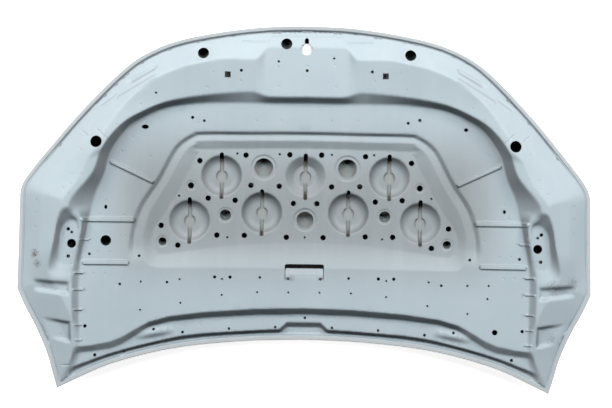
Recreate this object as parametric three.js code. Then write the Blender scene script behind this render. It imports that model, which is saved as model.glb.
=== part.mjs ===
// Car bonnet, lying crown down with its inner side up.
// Millimetres. X runs across the car, Y runs to the front edge, Z points away from the crown.
// The outer skin is a shallow bowl, hemmed over the edge of the stamped inner panel.

import * as THREE from 'three';

// Overall size
const bonnetWidth = 1476;
const bonnetLength = 944;

// Places below are laid out for a bonnet 1476 wide and 944 long, and stretch with it
const across = bonnetWidth / 1476;
const along = bonnetLength / 944;

// Outer skin
const skinThickness = 0.7;
const crownRise = 50;
const shoulderRise = 20;
const lengthRadius = 5000;
const noseStart = 200;
const noseRise = 15;
const rimBevel = 0.25;
const hemWidth = 9;
const edgeLift = 5;
const edgeLiftEnd = 10;
const edgeLiftFoot = 16;

// Inner panel
const panelThickness = 0.65;
const jointGap = 0.3;
const panelEdgeGap = 0.9;

// Clearance between the skin and the inner panel, zone by zone
const frontMemberHeight = 48;
const sideMemberHeight = 62;
const rearSideHeight = 36;
const midPanelHeight = 32;
const midPanelFall = 8;
const rearLedgeHeight = 14;
const rearLedgeFall = 3;
const hemBandHeight = 1.5;
const frontSlope = 0.7;
const frontCentreSlope = 0.585;
const sideSlope = 0.6;
const sideInnerSlope = 0.42;
const rearSideSlope = 0.36;
const sideShoulder = 57;
const shoulderSpan = [-200, 160];
const rearSlopeSpan = [-110, -230];
const frontSlopeSpan = [60, 200];
const frontCentreSpan = [230, 130];
const hemBandRun = 8;
const valleyDrop = 5;

// Flat pads, as heights above the lowest point of the skin
const latchPadLevel = 60;
const hingePadLevel = 79;

// Recessed field in the middle, with its bead round it
const beadDepth = 7.5;
const ridgeDepth = 5;
const fieldDepth = 13;

// Cones that are bonded to the skin
const coneRimRadius = 53.5;
const coneFlatRadius = 29;
const coneClearance = 3.5;
const keyholeRadius = 15.5;
const keySlotWidth = 11;
const keySlotLength = 122;

// Ribs, dishes and the pressed tongue
const ribHeight = 4;
const dishDepth = 2;
const dishEdge = 4;
const dishShare = 1.45;
const pocketDepth = 7;
const pocketEdge = 8;
const pocketFadeStart = 22;
const pocketFadeEnd = 60;
const tongueDrop = 6;
const tongueWidth = 104;
const tongueLength = 29;
const tongueOpening = 9;
const tongueSlit = 2;

// Reinforcements and fasteners inside the bonnet
const hingePlateThickness = 1.4;
const latchPlateThickness = 1.2;
const hingeNutWidth = 13;
const hingeNutHeight = 6.5;
const hingeNutBore = 6.8;
const strikerNutWidth = 10;
const strikerNutHeight = 5;
const strikerNutBore = 5;
const nutHoleRoom = 1;
const keyholePlateDrop = 3;
const dabRadius = 6;
const dabOffset = 22;
const dabGap = 0.4;

// Spacing of the facets
const skinPitch = 62;
const panelPitch = 46;
const tonguePitch = 14;
const pocketPitch = 26;

const halfWidth = bonnetWidth / 2;
const frontEdge = bonnetLength / 2;

// Soft materials of the look: a cool grey primer inside, a more neutral one on the skin
const skinPrimer = new THREE.MeshStandardMaterial({ color: 0xb4b9bb, roughness: 0.55, metalness: 0.1 });
const panelPrimer = new THREE.MeshStandardMaterial({ color: 0xbac6cd, roughness: 0.5, metalness: 0.1 });
const platePrimer = new THREE.MeshStandardMaterial({ color: 0xc2c8cb, roughness: 0.5, metalness: 0.1 });
const zincPlate = new THREE.MeshStandardMaterial({ color: 0x8d9093, roughness: 0.4, metalness: 0.8 });
const masticPaste = new THREE.MeshStandardMaterial({ color: 0x4a4a48, roughness: 0.9, metalness: 0 });

// Small helpers

function share(value, start, end) {
  return Math.min(1, Math.max(0, (value - start) / (end - start)));
}

function ease(t) {
  return t * t * (3 - 2 * t);
}

function mix(a, b, t) {
  return a + (b - a) * t;
}

function place(x, y) {
  return [x * across, y * along];
}

function placeAll(points) {
  return points.map(([x, y]) => place(x, y));
}

function smoothLine(points, count) {
  const curve = new THREE.SplineCurve(placeAll(points).map(([x, y]) => new THREE.Vector2(x, y)));
  return curve.getSpacedPoints(count).map((p) => [p.x, p.y]);
}

// A loop from its right half, given from the front centre round to the rear centre
function mirrorLoop(half) {
  const left = half
    .filter(([x]) => x > 0.5)
    .map(([x, y]) => [-x, y])
    .reverse();
  return [...half, ...left];
}

function isInside(loop, x, y) {
  let inside = false;
  for (let i = 0, j = loop.length - 1; i < loop.length; j = i, i += 1) {
    const [ax, ay] = loop[i];
    const [bx, by] = loop[j];
    if (ay > y !== by > y && x < ((bx - ax) * (y - ay)) / (by - ay) + ax) {
      inside = !inside;
    }
  }
  return inside;
}

function segmentDistance(x, y, [ax, ay], [bx, by]) {
  const dx = bx - ax;
  const dy = by - ay;
  const t = share((x - ax) * dx + (y - ay) * dy, 0, dx * dx + dy * dy);
  return Math.hypot(x - ax - t * dx, y - ay - t * dy);
}

function loopDistance(loop, x, y) {
  let nearest = Infinity;
  for (let i = 0, j = loop.length - 1; i < loop.length; j = i, i += 1) {
    nearest = Math.min(nearest, segmentDistance(x, y, loop[i], loop[j]));
  }
  return nearest;
}

function nearestOnLoop(loop, [x, y]) {
  let best = loop[0];
  let nearest = Infinity;
  for (let i = 0, j = loop.length - 1; i < loop.length; j = i, i += 1) {
    const [ax, ay] = loop[j];
    const [bx, by] = loop[i];
    const t = share((x - ax) * (bx - ax) + (y - ay) * (by - ay), 0, (bx - ax) ** 2 + (by - ay) ** 2);
    const foot = [mix(ax, bx, t), mix(ay, by, t)];
    const away = Math.hypot(x - foot[0], y - foot[1]);
    if (away < nearest) {
      nearest = away;
      best = foot;
    }
  }
  return best;
}

// 0 outside the outer loop, 1 inside the inner loop, and in proportion between them
function bandShare(outer, inner, x, y) {
  if (!isInside(outer, x, y)) return 0;
  if (isInside(inner, x, y)) return 1;
  const fromOuter = loopDistance(outer, x, y);
  const fromInner = loopDistance(inner, x, y);
  return fromOuter / (fromOuter + fromInner);
}

function lineHeight(line, x) {
  const last = line.length - 1;
  if (x <= line[0][0]) return line[0][1];
  for (let i = 0; i < last; i += 1) {
    if (x <= line[i + 1][0]) {
      return mix(line[i][1], line[i + 1][1], share(x, line[i][0], line[i + 1][0]));
    }
  }
  return line[last][1];
}

// Outline of the bonnet: front edge, side edge, rear side and rear edge of the right half
const frontEdgeLine = smoothLine(
  [[0, 472], [110, 468], [230, 452.5], [340, 428], [424, 391], [490, 340], [586, 240], [668, 140],
    [716, 76], [731, 48], [735, 26]],
  23,
);
const sideEdgeLine = smoothLine([[735, 26], [736, -60], [738, -216]], 5);
const rearSideLine = smoothLine([[738, -216], [719, -259], [688, -318], [661, -380], [646, -430],
  [633, -472]], 6);
const rearEdgeLine = smoothLine([[633, -472], [526, -421], [435, -392], [342, -371], [249, -358], [124, -348],
  [0, -344.5]], 15);

const joinedEdges = [sideEdgeLine, rearSideLine, rearEdgeLine].flatMap((line) => line.slice(1));
const outlineHalf = [...frontEdgeLine, ...joinedEdges];
const outline = mirrorLoop(outlineHalf);

// The same loop moved inwards, station by station
function insetLoop(inset) {
  return outline.map(([x, y], i) => {
    const [px, py] = outline[(i + outline.length - 1) % outline.length];
    const [nx, ny] = outline[(i + 1) % outline.length];
    const before = new THREE.Vector2(x - px, y - py).normalize();
    const after = new THREE.Vector2(nx - x, ny - y).normalize();
    const normal = new THREE.Vector2(before.y + after.y, -before.x - after.x).normalize();
    const reach = inset / Math.max(0.5, normal.dot(new THREE.Vector2(before.y, -before.x)));
    return [x + normal.x * reach, y + normal.y * reach];
  });
}

// Inner face of the outer skin
function skinBowl(x, y) {
  const u = x / halfWidth;
  const nose = share(y, noseStart, frontEdge);
  const bowl = crownRise * u ** 2 + shoulderRise * u ** 4 + (y * y) / (2 * lengthRadius);
  return skinThickness + bowl + noseRise * nose * nose;
}

function skinInner(x, y, inset) {
  return skinBowl(x, y) + edgeLift * (1 - share(inset, edgeLiftEnd, edgeLiftFoot));
}

// Lines of the inner panel, right half, front to rear
const frameCrestHalf = smoothLine(
  [[0, 287], [90, 286], [116, 292], [147, 299], [265, 288], [363, 268], [434, 236], [472, 211], [500, 181],
    [517, 156], [529, 132], [548, 82], [597, 22], [607, -10], [585, -40], [583, -68], [591, -114],
    [598, -170], [599, -240], [596, -352], [597, -385], [606, -430], [612, -470]],
  40,
);
const frameFootHalf = smoothLine(
  [[0, 272], [90, 271], [116, 271], [147, 270.5], [265, 269], [361, 257], [420, 233], [458, 209], [488, 172],
    [509, 134], [521, 84], [543, 28], [554, -16], [562, -45], [566, -68], [575, -114], [581, -166], [581, -236],
    [578, -350], [580, -386], [588, -430], [594, -470]],
  40,
);
const rearClose = place(0, -560);
const frameCrest = mirrorLoop([...frameCrestHalf, place(612, -560), rearClose]);
const frameFoot = mirrorLoop([...frameFootHalf, place(594, -560), rearClose]);

const rearWallCrest = placeAll([[0, -261], [125, -264], [260, -274], [350, -286], [400, -300], [440, -322],
  [470, -340], [500, -352], [550, -362], [600, -366]]);
const rearWallFoot = placeAll([[0, -278], [125, -281], [260, -290], [350, -300], [400, -314], [440, -340],
  [470, -359], [500, -371], [550, -378], [600, -384]]);
const edgeWallCrest = placeAll([[0, -299], [44, -299], [62, -317], [124, -321], [260, -330], [316, -337],
  [350, -344], [416, -360], [467, -373], [516, -388], [548, -400], [600, -419]]);
const edgeWallFoot = placeAll([[0, -312], [44, -312], [62, -328], [124, -330], [260, -339], [316, -346],
  [350, -352], [416, -368], [467, -382], [516, -397], [548, -409], [600, -429]]);

// Bead, ridge and floor of the recessed field
const beadOuterHalf = smoothLine([[0, 198], [266, 195], [290, 191], [314, 179], [332, 165], [345, 150], [360, 124],
  [388, 70], [428, 10], [446, -34], [456, -84], [457, -130], [450, -152], [430, -163], [380, -166], [190, -165],
  [0, -165]], 30);
const beadBottomHalf = smoothLine([[0, 190], [264, 187], [286, 183], [307, 173], [324, 159], [336, 145], [350, 120],
  [378, 66], [417, 6], [434, -38], [444, -86], [443, -128], [437, -148], [422, -159], [380, -162], [190, -162],
  [0, -162]], 30);
const ridgeHalf = smoothLine([[0, 175], [262, 171], [280, 167], [297, 158], [311, 146], [321, 132], [334, 108],
  [361, 56], [398, -4], [414, -44], [421, -86], [418, -128], [412, -146], [400, -156], [376, -159], [190, -158],
  [0, -158]], 30);
const floorHalf = smoothLine([[0, 155], [262, 150], [274, 146], [283, 138], [289, 124], [294, 109], [305, 92],
  [332, 38], [365, -16], [386, -46], [397, -72], [398, -96], [388, -118], [365, -126], [289, -114], [161, -98],
  [0, -92]], 30);
const beadOuter = mirrorLoop(beadOuterHalf);
const beadBottom = mirrorLoop(beadBottomHalf);
const ridge = mirrorLoop(ridgeHalf);
const fieldFloor = mirrorLoop(floorHalf);
const beadFadeStart = -100 * along;
const beadFadeEnd = -150 * along;

// Hinge pad on the right: its wall starts at the crest and ends at the flat of the pad
const hingeCrest = smoothLine([[574, -40], [583, -20], [600, -6], [618, -8], [632, -20], [641, -44], [645, -82],
  [652, -104], [657, -134], [654, -176], [620, -186], [578, -180]], 16);
const hingeFlat = smoothLine([[583, -60], [586, -44], [594, -38], [610, -41], [622, -54], [629, -72], [631, -90],
  [632, -116], [632, -138], [628, -150], [610, -154], [596, -150]], 16);

// Pads, cones, holes and ribs
const latchPadHalfWidth = 100 * across;
const latchPadSide = 36;
const cones = [[0, 81], [219, 81], [-219, 81], [113, -14], [-113, -14], [301, -37], [-301, -37]].map(
  ([x, y]) => place(x, y),
);

// Holes given as x, y, diameter and the number of sides; the paired ones repeat on the left
const pairedHoles = [
  [539, 164, 30, 14], [600, -99, 23, 12], [268, 397, 29, 14], [208, -21, 29, 12], [298.5, 54.5, 16, 8],
  [370.5, -92, 21, 10], [109.5, 103.5, 49, 18], [156, 135.5, 14.4, 8], [41.5, 138, 14.4, 8], [142, 57, 14.4, 8],
  [68.5, 55.5, 14.4, 8], [253, 22, 14.4, 8], [183, 17.5, 14.4, 8], [30.5, 11, 14.4, 8], [229.5, -74, 14.4, 8],
  [158, -74, 14.4, 8], [48, -77.5, 14.4, 8], [276, 119.5, 14.4, 8], [374.5, -50.5, 14.4, 8],
  [330.5, -101.5, 14.4, 8], [609, -62, 8.5, 6], [608, -132, 8.5, 6], [233, -182.5, 7.7, 6], [193, -182.5, 7.7, 6],
  [169, 353, 7, 6], [294, 231.5, 7.5, 6], [564, -312, 9, 6], [539, -387.5, 7.5, 6], [389.5, -320, 6.5, 6],
];
const singleHoles = [
  [-515, -91, 27, 12], [-53, 424, 29, 14], [0, -32, 44, 16], [0, 355, 7, 6], [-72, 380, 7, 6], [72, 380, 7, 6],
  [494, -316, 14, 8],
];
const squareHoles = [[204, 342, 15], [-204, 342, 15]];
const dishedHoles = [[109.5, 103.5, 49], [-109.5, 103.5, 49], [0, -32, 44]];
const frontKeyhole = { x: -1, y: 410, radius: 15.5, slotWidth: 10.5, slotTop: 440 };
const ribs = [
  { from: [502, 112], to: [398, 63], width: 14 },
  { from: [570, -37], to: [447, -37], width: 17 },
  { from: [568, -148], to: [460, -148], width: 17 },
];
const sidePockets = [
  [[603, -198], [698, -191], [698, -221], [603, -234]],
  [[598, -300], [676, -288], [652, -346], [598, -356]],
];
const valleyLine = placeAll([[500, 146], [522, 140], [556, 129], [631, 97], [740, 60]]);
const valleyWidth = 22;
const tongueTop = -147 * along;

// Heights of the inner panel above the skin

function sideLevel(x, y) {
  const rearShare = ease(share(y, -90 * along, -176 * along));
  const frontShare = ease(share(y, 120 * along, 280 * along));
  const behindValley = share(lineHeight(valleyLine, x) - y, -valleyWidth / 2, valleyWidth / 2);
  const side = mix(mix(sideMemberHeight, rearSideHeight, rearShare), frontMemberHeight, frontShare);
  return side - valleyDrop * ease(behindValley) * (x > valleyLine[0][0] ? 1 - rearShare : 0);
}

function frameLevel(x, y) {
  const latchPad = latchPadLevel - panelThickness - skinBowl(x, y);
  const besidePad = ease(share(x, latchPadHalfWidth, latchPadHalfWidth + latchPadSide));
  const level = mix(latchPad, sideLevel(x, y), y > 0 ? besidePad : 1);
  const hingePad = hingePadLevel - panelThickness - skinBowl(x, y);
  return mix(level, hingePad, bandShare(hingeCrest, hingeFlat, x, y));
}

// The pockets run out towards the hem
function pocketSink(x, y, inset) {
  let sink = 0;
  for (const pocket of sidePockets) {
    const loop = placeAll(pocket);
    if (isInside(loop, x, y)) sink = pocketDepth * share(loopDistance(loop, x, y), 0, pocketEdge);
  }
  return sink * share(inset, pocketFadeStart, pocketFadeEnd);
}

// Slopes of the rise from the hem, outside and inside the shoulder line
function riseSlopes(x, y) {
  const rear = ease(share(y / along, ...rearSlopeSpan));
  const front = ease(share(y / along, ...frontSlopeSpan));
  const centre = ease(share(Math.abs(x) / across, ...frontCentreSpan));
  const frontRise = mix(frontSlope, frontCentreSlope, centre);
  return [sideSlope, sideInnerSlope].map((side) => mix(mix(side, rearSideSlope, rear), frontRise, front));
}

function hemRise(x, y, inset) {
  const [outer, inner] = riseSlopes(x, y);
  const leaving = edgeLift * share(inset, edgeLiftEnd, edgeLiftFoot);
  const outerRun = Math.min(inset, sideShoulder) - edgeLiftEnd;
  return jointGap + leaving + outer * outerRun + inner * Math.max(0, inset - sideShoulder);
}

function frameHeight(x, y, inset) {
  const height = Math.min(frameLevel(x, y), hemRise(x, y, inset));
  return Math.max(height - pocketSink(x, y, inset), Math.min(height, hemBandHeight));
}

function fieldHeight(x, y, level) {
  const fade = ease(share(y, beadFadeEnd, beadFadeStart));
  const toFloor = bandShare(ridge, fieldFloor, x, y);
  if (toFloor > 0) return level - mix(ridgeDepth * fade, fieldDepth, toFloor);
  const toRidge = bandShare(beadBottom, ridge, x, y);
  if (toRidge > 0) return level - mix(beadDepth, ridgeDepth, toRidge) * fade;
  return level - beadDepth * fade * bandShare(beadOuter, beadBottom, x, y);
}

function ribRise(x, y) {
  let rise = 0;
  if (isInside(beadOuter, x, y)) return rise;
  for (const rib of ribs) {
    const away = segmentDistance(x, y, place(...rib.from), place(...rib.to));
    rise = Math.max(rise, ribHeight * (1 - share(away, rib.width / 2 - 5, rib.width / 2)));
  }
  return rise;
}

function insideHeight(x, y, inset) {
  const outward = (x / (560 * across)) ** 2;
  const mid = midPanelHeight - midPanelFall * outward;
  const ledge = rearLedgeHeight - rearLedgeFall * outward;
  const downWall = share(y, lineHeight(rearWallCrest, x), lineHeight(rearWallFoot, x));
  const downEdge = share(y, lineHeight(edgeWallCrest, x), lineHeight(edgeWallFoot, x));
  let height = fieldHeight(x, y, mid) + ribRise(x, y);
  height = mix(mix(height, ledge, downWall), hemBandHeight, downEdge);
  return mix(jointGap, height, share(inset, edgeLiftFoot, edgeLiftFoot + hemBandRun));
}

function coneHeight(x, y, height) {
  for (const [cx, cy] of cones) {
    const away = Math.hypot(x - cx, y - cy);
    if (away < coneRimRadius) {
      return mix(height, coneClearance, share(away, coneRimRadius, coneFlatRadius));
    }
  }
  for (const [hx, hy, size] of dishedHoles) {
    const [cx, cy] = place(hx, hy);
    const rim = (size / 2) * dishShare;
    const away = Math.hypot(x - cx, y - cy);
    if (away < rim) return height - dishDepth * share(away, rim, rim - dishEdge);
  }
  return height;
}

function tongueSink(x, y) {
  const free = tongueTop - tongueOpening;
  const fold = free - tongueLength;
  if (Math.abs(x) > tongueWidth / 2 || y > free + 0.5 || y < fold) return 0;
  return tongueDrop * share(y, fold, free);
}

// Upper face of the inner panel at a place and its distance from the outline
function panelTop(x, y) {
  const inset = loopDistance(outline, x, y);
  const base = skinInner(x, y, inset) + panelThickness;
  if (inset <= edgeLiftEnd + 0.05) return base + jointGap;
  const side = Math.abs(x);
  const inward = bandShare(frameCrest, frameFoot, side, y);
  const frame = inward < 1 ? frameHeight(side, y, inset) : 0;
  const inner = inward > 0 ? insideHeight(side, y, inset) : 0;
  const height = coneHeight(x, y, mix(frame, inner, inward)) - tongueSink(x, y);
  return base + Math.max(height, jointGap);
}

function panelBottom(x, y) {
  const step = 1.5;
  const inset = loopDistance(outline, x, y);
  if (inset < edgeLiftFoot + hemBandRun) return panelTop(x, y) - panelThickness;
  const slopeX = (panelTop(x + step, y) - panelTop(x - step, y)) / (2 * step);
  const slopeY = (panelTop(x, y + step) - panelTop(x, y - step)) / (2 * step);
  return panelTop(x, y) - panelThickness * Math.min(1.4, Math.hypot(1, slopeX, slopeY));
}

// Plan view triangles over scattered points

function circleOf(a, b, c) {
  const d = 2 * (a[0] * (b[1] - c[1]) + b[0] * (c[1] - a[1]) + c[0] * (a[1] - b[1]));
  const aa = a[0] ** 2 + a[1] ** 2;
  const bb = b[0] ** 2 + b[1] ** 2;
  const cc = c[0] ** 2 + c[1] ** 2;
  const x = (aa * (b[1] - c[1]) + bb * (c[1] - a[1]) + cc * (a[1] - b[1])) / d;
  const y = (aa * (c[0] - b[0]) + bb * (a[0] - c[0]) + cc * (b[0] - a[0])) / d;
  return { x, y, r2: (a[0] - x) ** 2 + (a[1] - y) ** 2 };
}

function triangulate(points) {
  const far = 20 * bonnetWidth;
  const all = [...points, [-far, -far], [far, -far], [0, far]];
  const count = points.length;
  const makeTriangle = (a, b, c) => ({ v: [a, b, c], circle: circleOf(all[a], all[b], all[c]) });
  let triangles = [makeTriangle(count, count + 1, count + 2)];
  for (let i = 0; i < count; i += 1) {
    const [x, y] = all[i];
    const edges = new Map();
    const kept = [];
    for (const triangle of triangles) {
      const { circle, v } = triangle;
      if ((x - circle.x) ** 2 + (y - circle.y) ** 2 > circle.r2) {
        kept.push(triangle);
      } else {
        for (const [a, b] of [[v[0], v[1]], [v[1], v[2]], [v[2], v[0]]]) {
          const back = `${b},${a}`;
          if (edges.has(back)) edges.delete(back);
          else edges.set(`${a},${b}`, [a, b]);
        }
      }
    }
    for (const [a, b] of edges.values()) kept.push(makeTriangle(a, b, i));
    triangles = kept;
  }
  return triangles.map((t) => t.v).filter((v) => v.every((k) => k < count));
}

// Points nudged by a hair, so that no four lie on one circle
function nudge(points, seed) {
  return points.map(([x, y], i) => [x + 0.01 * Math.sin(12.9 * i + seed), y + 0.01 * Math.sin(78.2 * i + seed)]);
}

// Scattered points inside a sheet that keep a distance from the ones already taken
class PointField {
  constructor(edge, holes) {
    this.edge = edge;
    this.holes = holes;
    this.taken = [...edge, ...holes.flat()];
    this.points = [];
  }

  isFree(x, y, clear) {
    if (!isInside(this.edge, x, y) || this.holes.some((hole) => isInside(hole, x, y))) return false;
    return this.taken.every(([tx, ty]) => Math.hypot(tx - x, ty - y) > clear);
  }

  add(list, clear) {
    for (const [x, y] of list) {
      if (this.isFree(x, y, clear)) {
        this.points.push([x, y]);
        this.taken.push([x, y]);
      }
    }
  }
}

function ringPoints(cx, cy, radius, count, turn = 0) {
  return Array.from({ length: count }, (_, i) => {
    const angle = ((i + turn) / count) * 2 * Math.PI;
    return [cx + radius * Math.cos(angle), cy + radius * Math.sin(angle)];
  });
}

function gridPoints(pitch) {
  const points = [];
  const row = pitch * Math.sqrt(0.75);
  for (let j = -Math.ceil(frontEdge / row); j * row < frontEdge; j += 1) {
    for (let i = -Math.ceil(halfWidth / pitch); i * pitch < halfWidth; i += 1) {
      points.push([(i + (j % 2 ? 0.5 : 0)) * pitch, j * row]);
    }
  }
  return points;
}

// Triangles of a plan region, all turned the same way round
function planFaces(plan, edge, holes) {
  const faces = [];
  for (const [a, b, c] of triangulate(plan)) {
    const x = (plan[a][0] + plan[b][0] + plan[c][0]) / 3;
    const y = (plan[a][1] + plan[b][1] + plan[c][1]) / 3;
    if (isInside(edge, x, y) && !holes.some((hole) => isInside(hole, x, y))) {
      const turn = (plan[b][0] - plan[a][0]) * (plan[c][1] - plan[a][1])
        - (plan[b][1] - plan[a][1]) * (plan[c][0] - plan[a][0]);
      faces.push(turn > 0 ? [a, b, c] : [a, c, b]);
    }
  }
  return faces;
}

// Strip between two loops of as many stations, the first one further out; loops run clockwise
function stripFaces(outerStart, innerStart, stations) {
  const faces = [];
  for (let i = 0; i < stations; i += 1) {
    const next = (i + 1) % stations;
    faces.push([outerStart + i, innerStart + next, outerStart + next]);
    faces.push([outerStart + i, innerStart + i, innerStart + next]);
  }
  return faces;
}

// Sheet in plan view: rings from the edge inwards, then a field with holes; walls stand on open edges
function sheetGeometry(rings, holes, inner, topAt, bottomAt) {
  const edge = nudge(rings[rings.length - 1], 0.3);
  const holeLoops = holes.map((hole, i) => nudge(hole, i + 1));
  const rim = rings.slice(0, -1).flat();
  const field = [...edge, ...holeLoops.flat(), ...nudge(inner, 0.7)];
  const plan = [...rim, ...field];
  const faces = planFaces(field, edge, holeLoops).map((face) => face.map((k) => k + rim.length));
  for (let ring = 0; ring < rings.length - 1; ring += 1) {
    faces.push(...stripFaces(ring * edge.length, (ring + 1) * edge.length, edge.length));
  }
  const positions = [];
  for (const [x, y] of plan) positions.push(x, y, topAt(x, y));
  for (const [x, y] of plan) positions.push(x, y, bottomAt(x, y));
  const index = [];
  const open = new Map();
  for (const face of faces) {
    index.push(...face);
    index.push(face[0] + plan.length, face[2] + plan.length, face[1] + plan.length);
    for (let k = 0; k < 3; k += 1) {
      const from = face[k];
      const to = face[(k + 1) % 3];
      if (open.has(`${to},${from}`)) open.delete(`${to},${from}`);
      else open.set(`${from},${to}`, [from, to]);
    }
  }
  for (const [from, to] of open.values()) {
    index.push(from, from + plan.length, to + plan.length, from, to + plan.length, to);
  }
  return trimmedGeometry(positions, index);
}

// Geometry that holds only the vertices its faces use
function trimmedGeometry(positions, index) {
  const renumber = new Map();
  const used = [];
  const newIndex = index.map((k) => {
    if (!renumber.has(k)) {
      renumber.set(k, used.length / 3);
      used.push(positions[3 * k], positions[3 * k + 1], positions[3 * k + 2]);
    }
    return renumber.get(k);
  });
  const geometry = new THREE.BufferGeometry();
  geometry.setAttribute('position', new THREE.Float32BufferAttribute(used, 3));
  geometry.setIndex(newIndex);
  geometry.computeVertexNormals();
  return geometry;
}

// Outer skin: a bowl whose edge is folded back over the inner panel
function outerSkin() {
  const flangeUnder = 2 * jointGap + panelThickness;
  const flangeTop = flangeUnder + skinThickness;
  const profile = [
    [edgeLiftFoot, -skinThickness], [edgeLiftEnd, -skinThickness], [rimBevel, -skinThickness],
    [0, rimBevel - skinThickness], [0, flangeTop - rimBevel], [rimBevel, flangeTop], [hemWidth, flangeTop],
    [hemWidth, flangeUnder], [skinThickness, flangeUnder], [skinThickness, 0], [edgeLiftEnd, 0],
    [edgeLiftFoot, 0],
  ];
  const positions = [];
  const stations = outline.length;
  profile.forEach(([inset, rise]) => {
    insetLoop(inset).forEach(([x, y]) => positions.push(x, y, skinInner(x, y, inset) + rise));
  });
  const index = [];
  for (let ring = 0; ring < profile.length - 1; ring += 1) {
    index.push(...stripFaces(ring * stations, (ring + 1) * stations, stations).flat());
  }
  const edge = insetLoop(edgeLiftFoot);
  const field = new PointField(edge, []);
  field.add(gridPoints(skinPitch), skinPitch * 0.55);
  const inner = field.points;
  const start = positions.length / 3;
  for (const [x, y] of inner) positions.push(x, y, skinBowl(x, y) - skinThickness);
  for (const [x, y] of inner) positions.push(x, y, skinBowl(x, y));
  const lastRing = (profile.length - 1) * stations;
  const underside = (k) => (k < stations ? k : start + k - stations);
  const inside = (k) => (k < stations ? lastRing + k : start + inner.length + k - stations);
  for (const [a, b, c] of planFaces(nudge([...edge, ...inner], 0.5), edge, [])) {
    index.push(inside(a), inside(b), inside(c));
    index.push(underside(a), underside(c), underside(b));
  }
  return trimmedGeometry(positions, index);
}

// Loops of the holes in the inner panel

function coneKeyhole([cx, cy]) {
  const half = keySlotWidth / 2;
  const end = keySlotLength / 2;
  const start = Math.acos(half / keyholeRadius);
  const turns = [1, 0.67, 0.33, 0].map((t) => start * t);
  const arc = turns.map((angle) => [keyholeRadius * Math.cos(angle), keyholeRadius * Math.sin(angle)]);
  const quarter = [[half * 0.7, end - 1.2], [half, coneRimRadius], [half, coneFlatRadius], ...arc];
  const right = [...quarter, ...quarter.slice(0, -1).reverse().map(([x, y]) => [x, -y])];
  const left = [...right].reverse().map(([x, y]) => [-x, y]);
  return [[0, end], ...right, [0, -end], ...left].map(([x, y]) => [cx + x, cy + y]);
}

function frontKeyholeLoop() {
  const { radius, slotWidth, slotTop } = frontKeyhole;
  const [cx, cy] = place(frontKeyhole.x, frontKeyhole.y);
  const half = slotWidth / 2;
  const end = slotTop * along - cy;
  const start = Math.acos(half / radius);
  const sweep = Math.PI + 2 * start;
  const arcSides = 12;
  const arc = Array.from({ length: arcSides + 1 }, (_, i) => {
    const angle = start - (i / arcSides) * sweep;
    return [radius * Math.cos(angle), radius * Math.sin(angle)];
  });
  const top = [[-half, end - half], [-half * 0.6, end - 1.5], [half * 0.6, end - 1.5], [half, end - half]];
  return [...top, ...arc].map(([x, y]) => [cx + x, cy + y]);
}

// Points from one place towards another, the last one left out
function dividedLine([ax, ay], [bx, by], pitch) {
  const steps = Math.max(1, Math.round(Math.hypot(bx - ax, by - ay) / pitch));
  return Array.from({ length: steps }, (_, i) => [mix(ax, bx, i / steps), mix(ay, by, i / steps)]);
}

// Slot across the panel whose lower lip is a tongue, cut free at both sides
function tongueLoop() {
  const half = tongueWidth / 2;
  const free = tongueTop - tongueOpening;
  const cutEnd = free - tongueLength + 2;
  const right = [[half, tongueTop], [half, free], [half, cutEnd], [half - tongueSlit, cutEnd],
    [half - tongueSlit, free]];
  const corners = [...right, ...right.map(([x, y]) => [-x, y]).reverse()];
  return corners.flatMap((corner, i) => dividedLine(corner, corners[(i + 1) % corners.length], tonguePitch));
}

function panelHoles() {
  const right = pairedHoles.map(([x, y, size, sides]) => ringPoints(...place(x, y), size / 2, sides, 0.5));
  const left = pairedHoles.map(([x, y, size, sides]) => ringPoints(...place(-x, y), size / 2, sides, 0.5));
  const single = singleHoles.map(([x, y, size, sides]) => ringPoints(...place(x, y), size / 2, sides, 0.5));
  const square = squareHoles.map(([x, y, size]) => ringPoints(...place(x, y), size / Math.SQRT2, 4, 0.5));
  return [...right, ...left, ...single, ...square, ...cones.map(coneKeyhole), frontKeyholeLoop(), tongueLoop()];
}

// Points along the folds of the inner panel

function wallPoints(line) {
  const rearRing = insetLoop(edgeLiftFoot).filter(([x, y]) => y < -320 * along && Math.abs(x) < 596 * across);
  return rearRing.map(([x]) => [x, lineHeight(line, Math.abs(x))]);
}

function slopeCrest() {
  return outline.flatMap(([x, y], i) => {
    if (y < -330 * along) return [];
    let inset = sideShoulder;
    for (let pass = 0; pass < 3; pass += 1) {
      const [px, py] = insetLoop(inset)[i];
      const [outer, inner] = riseSlopes(px, py);
      const rise = frameLevel(Math.abs(px), py) - jointGap - edgeLift;
      const outerRise = outer * (sideShoulder - edgeLiftEnd);
      inset = rise < outerRise ? edgeLiftEnd + rise / outer : sideShoulder + (rise - outerRise) / inner;
    }
    return [insetLoop(inset)[i]];
  });
}

function shoulderPoints() {
  const [rear, front] = shoulderSpan;
  return insetLoop(sideShoulder).filter(([, y]) => y > rear * along && y < front * along);
}

// The stations of one fold with the places that face them on the folds beside it
function facingPoints(fold, others) {
  return [...fold, ...others.flatMap((other) => fold.map((station) => nearestOnLoop(other, station)))];
}

function conePoints() {
  return cones.flatMap(([cx, cy]) => {
    const rim = ringPoints(cx, cy, coneRimRadius, 16);
    const flat = ringPoints(cx, cy, coneFlatRadius, 12);
    return [...rim, ...flat].filter(([x]) => Math.abs(x - cx) > keySlotWidth);
  });
}

function ribPoints() {
  return ribs.flatMap((rib) => {
    const from = new THREE.Vector2(...place(...rib.from));
    const to = new THREE.Vector2(...place(...rib.to));
    const normal = to.clone().sub(from).normalize().rotateAround(new THREE.Vector2(), Math.PI / 2);
    const offsets = [rib.width / 2, rib.width / 2 - 5, 5 - rib.width / 2, -rib.width / 2];
    return [0, 0.33, 0.67, 1].flatMap((t) => offsets.map((offset) => {
      const at = from.clone().lerp(to, t).addScaledVector(normal, offset);
      return [at.x, at.y];
    }));
  });
}

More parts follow.
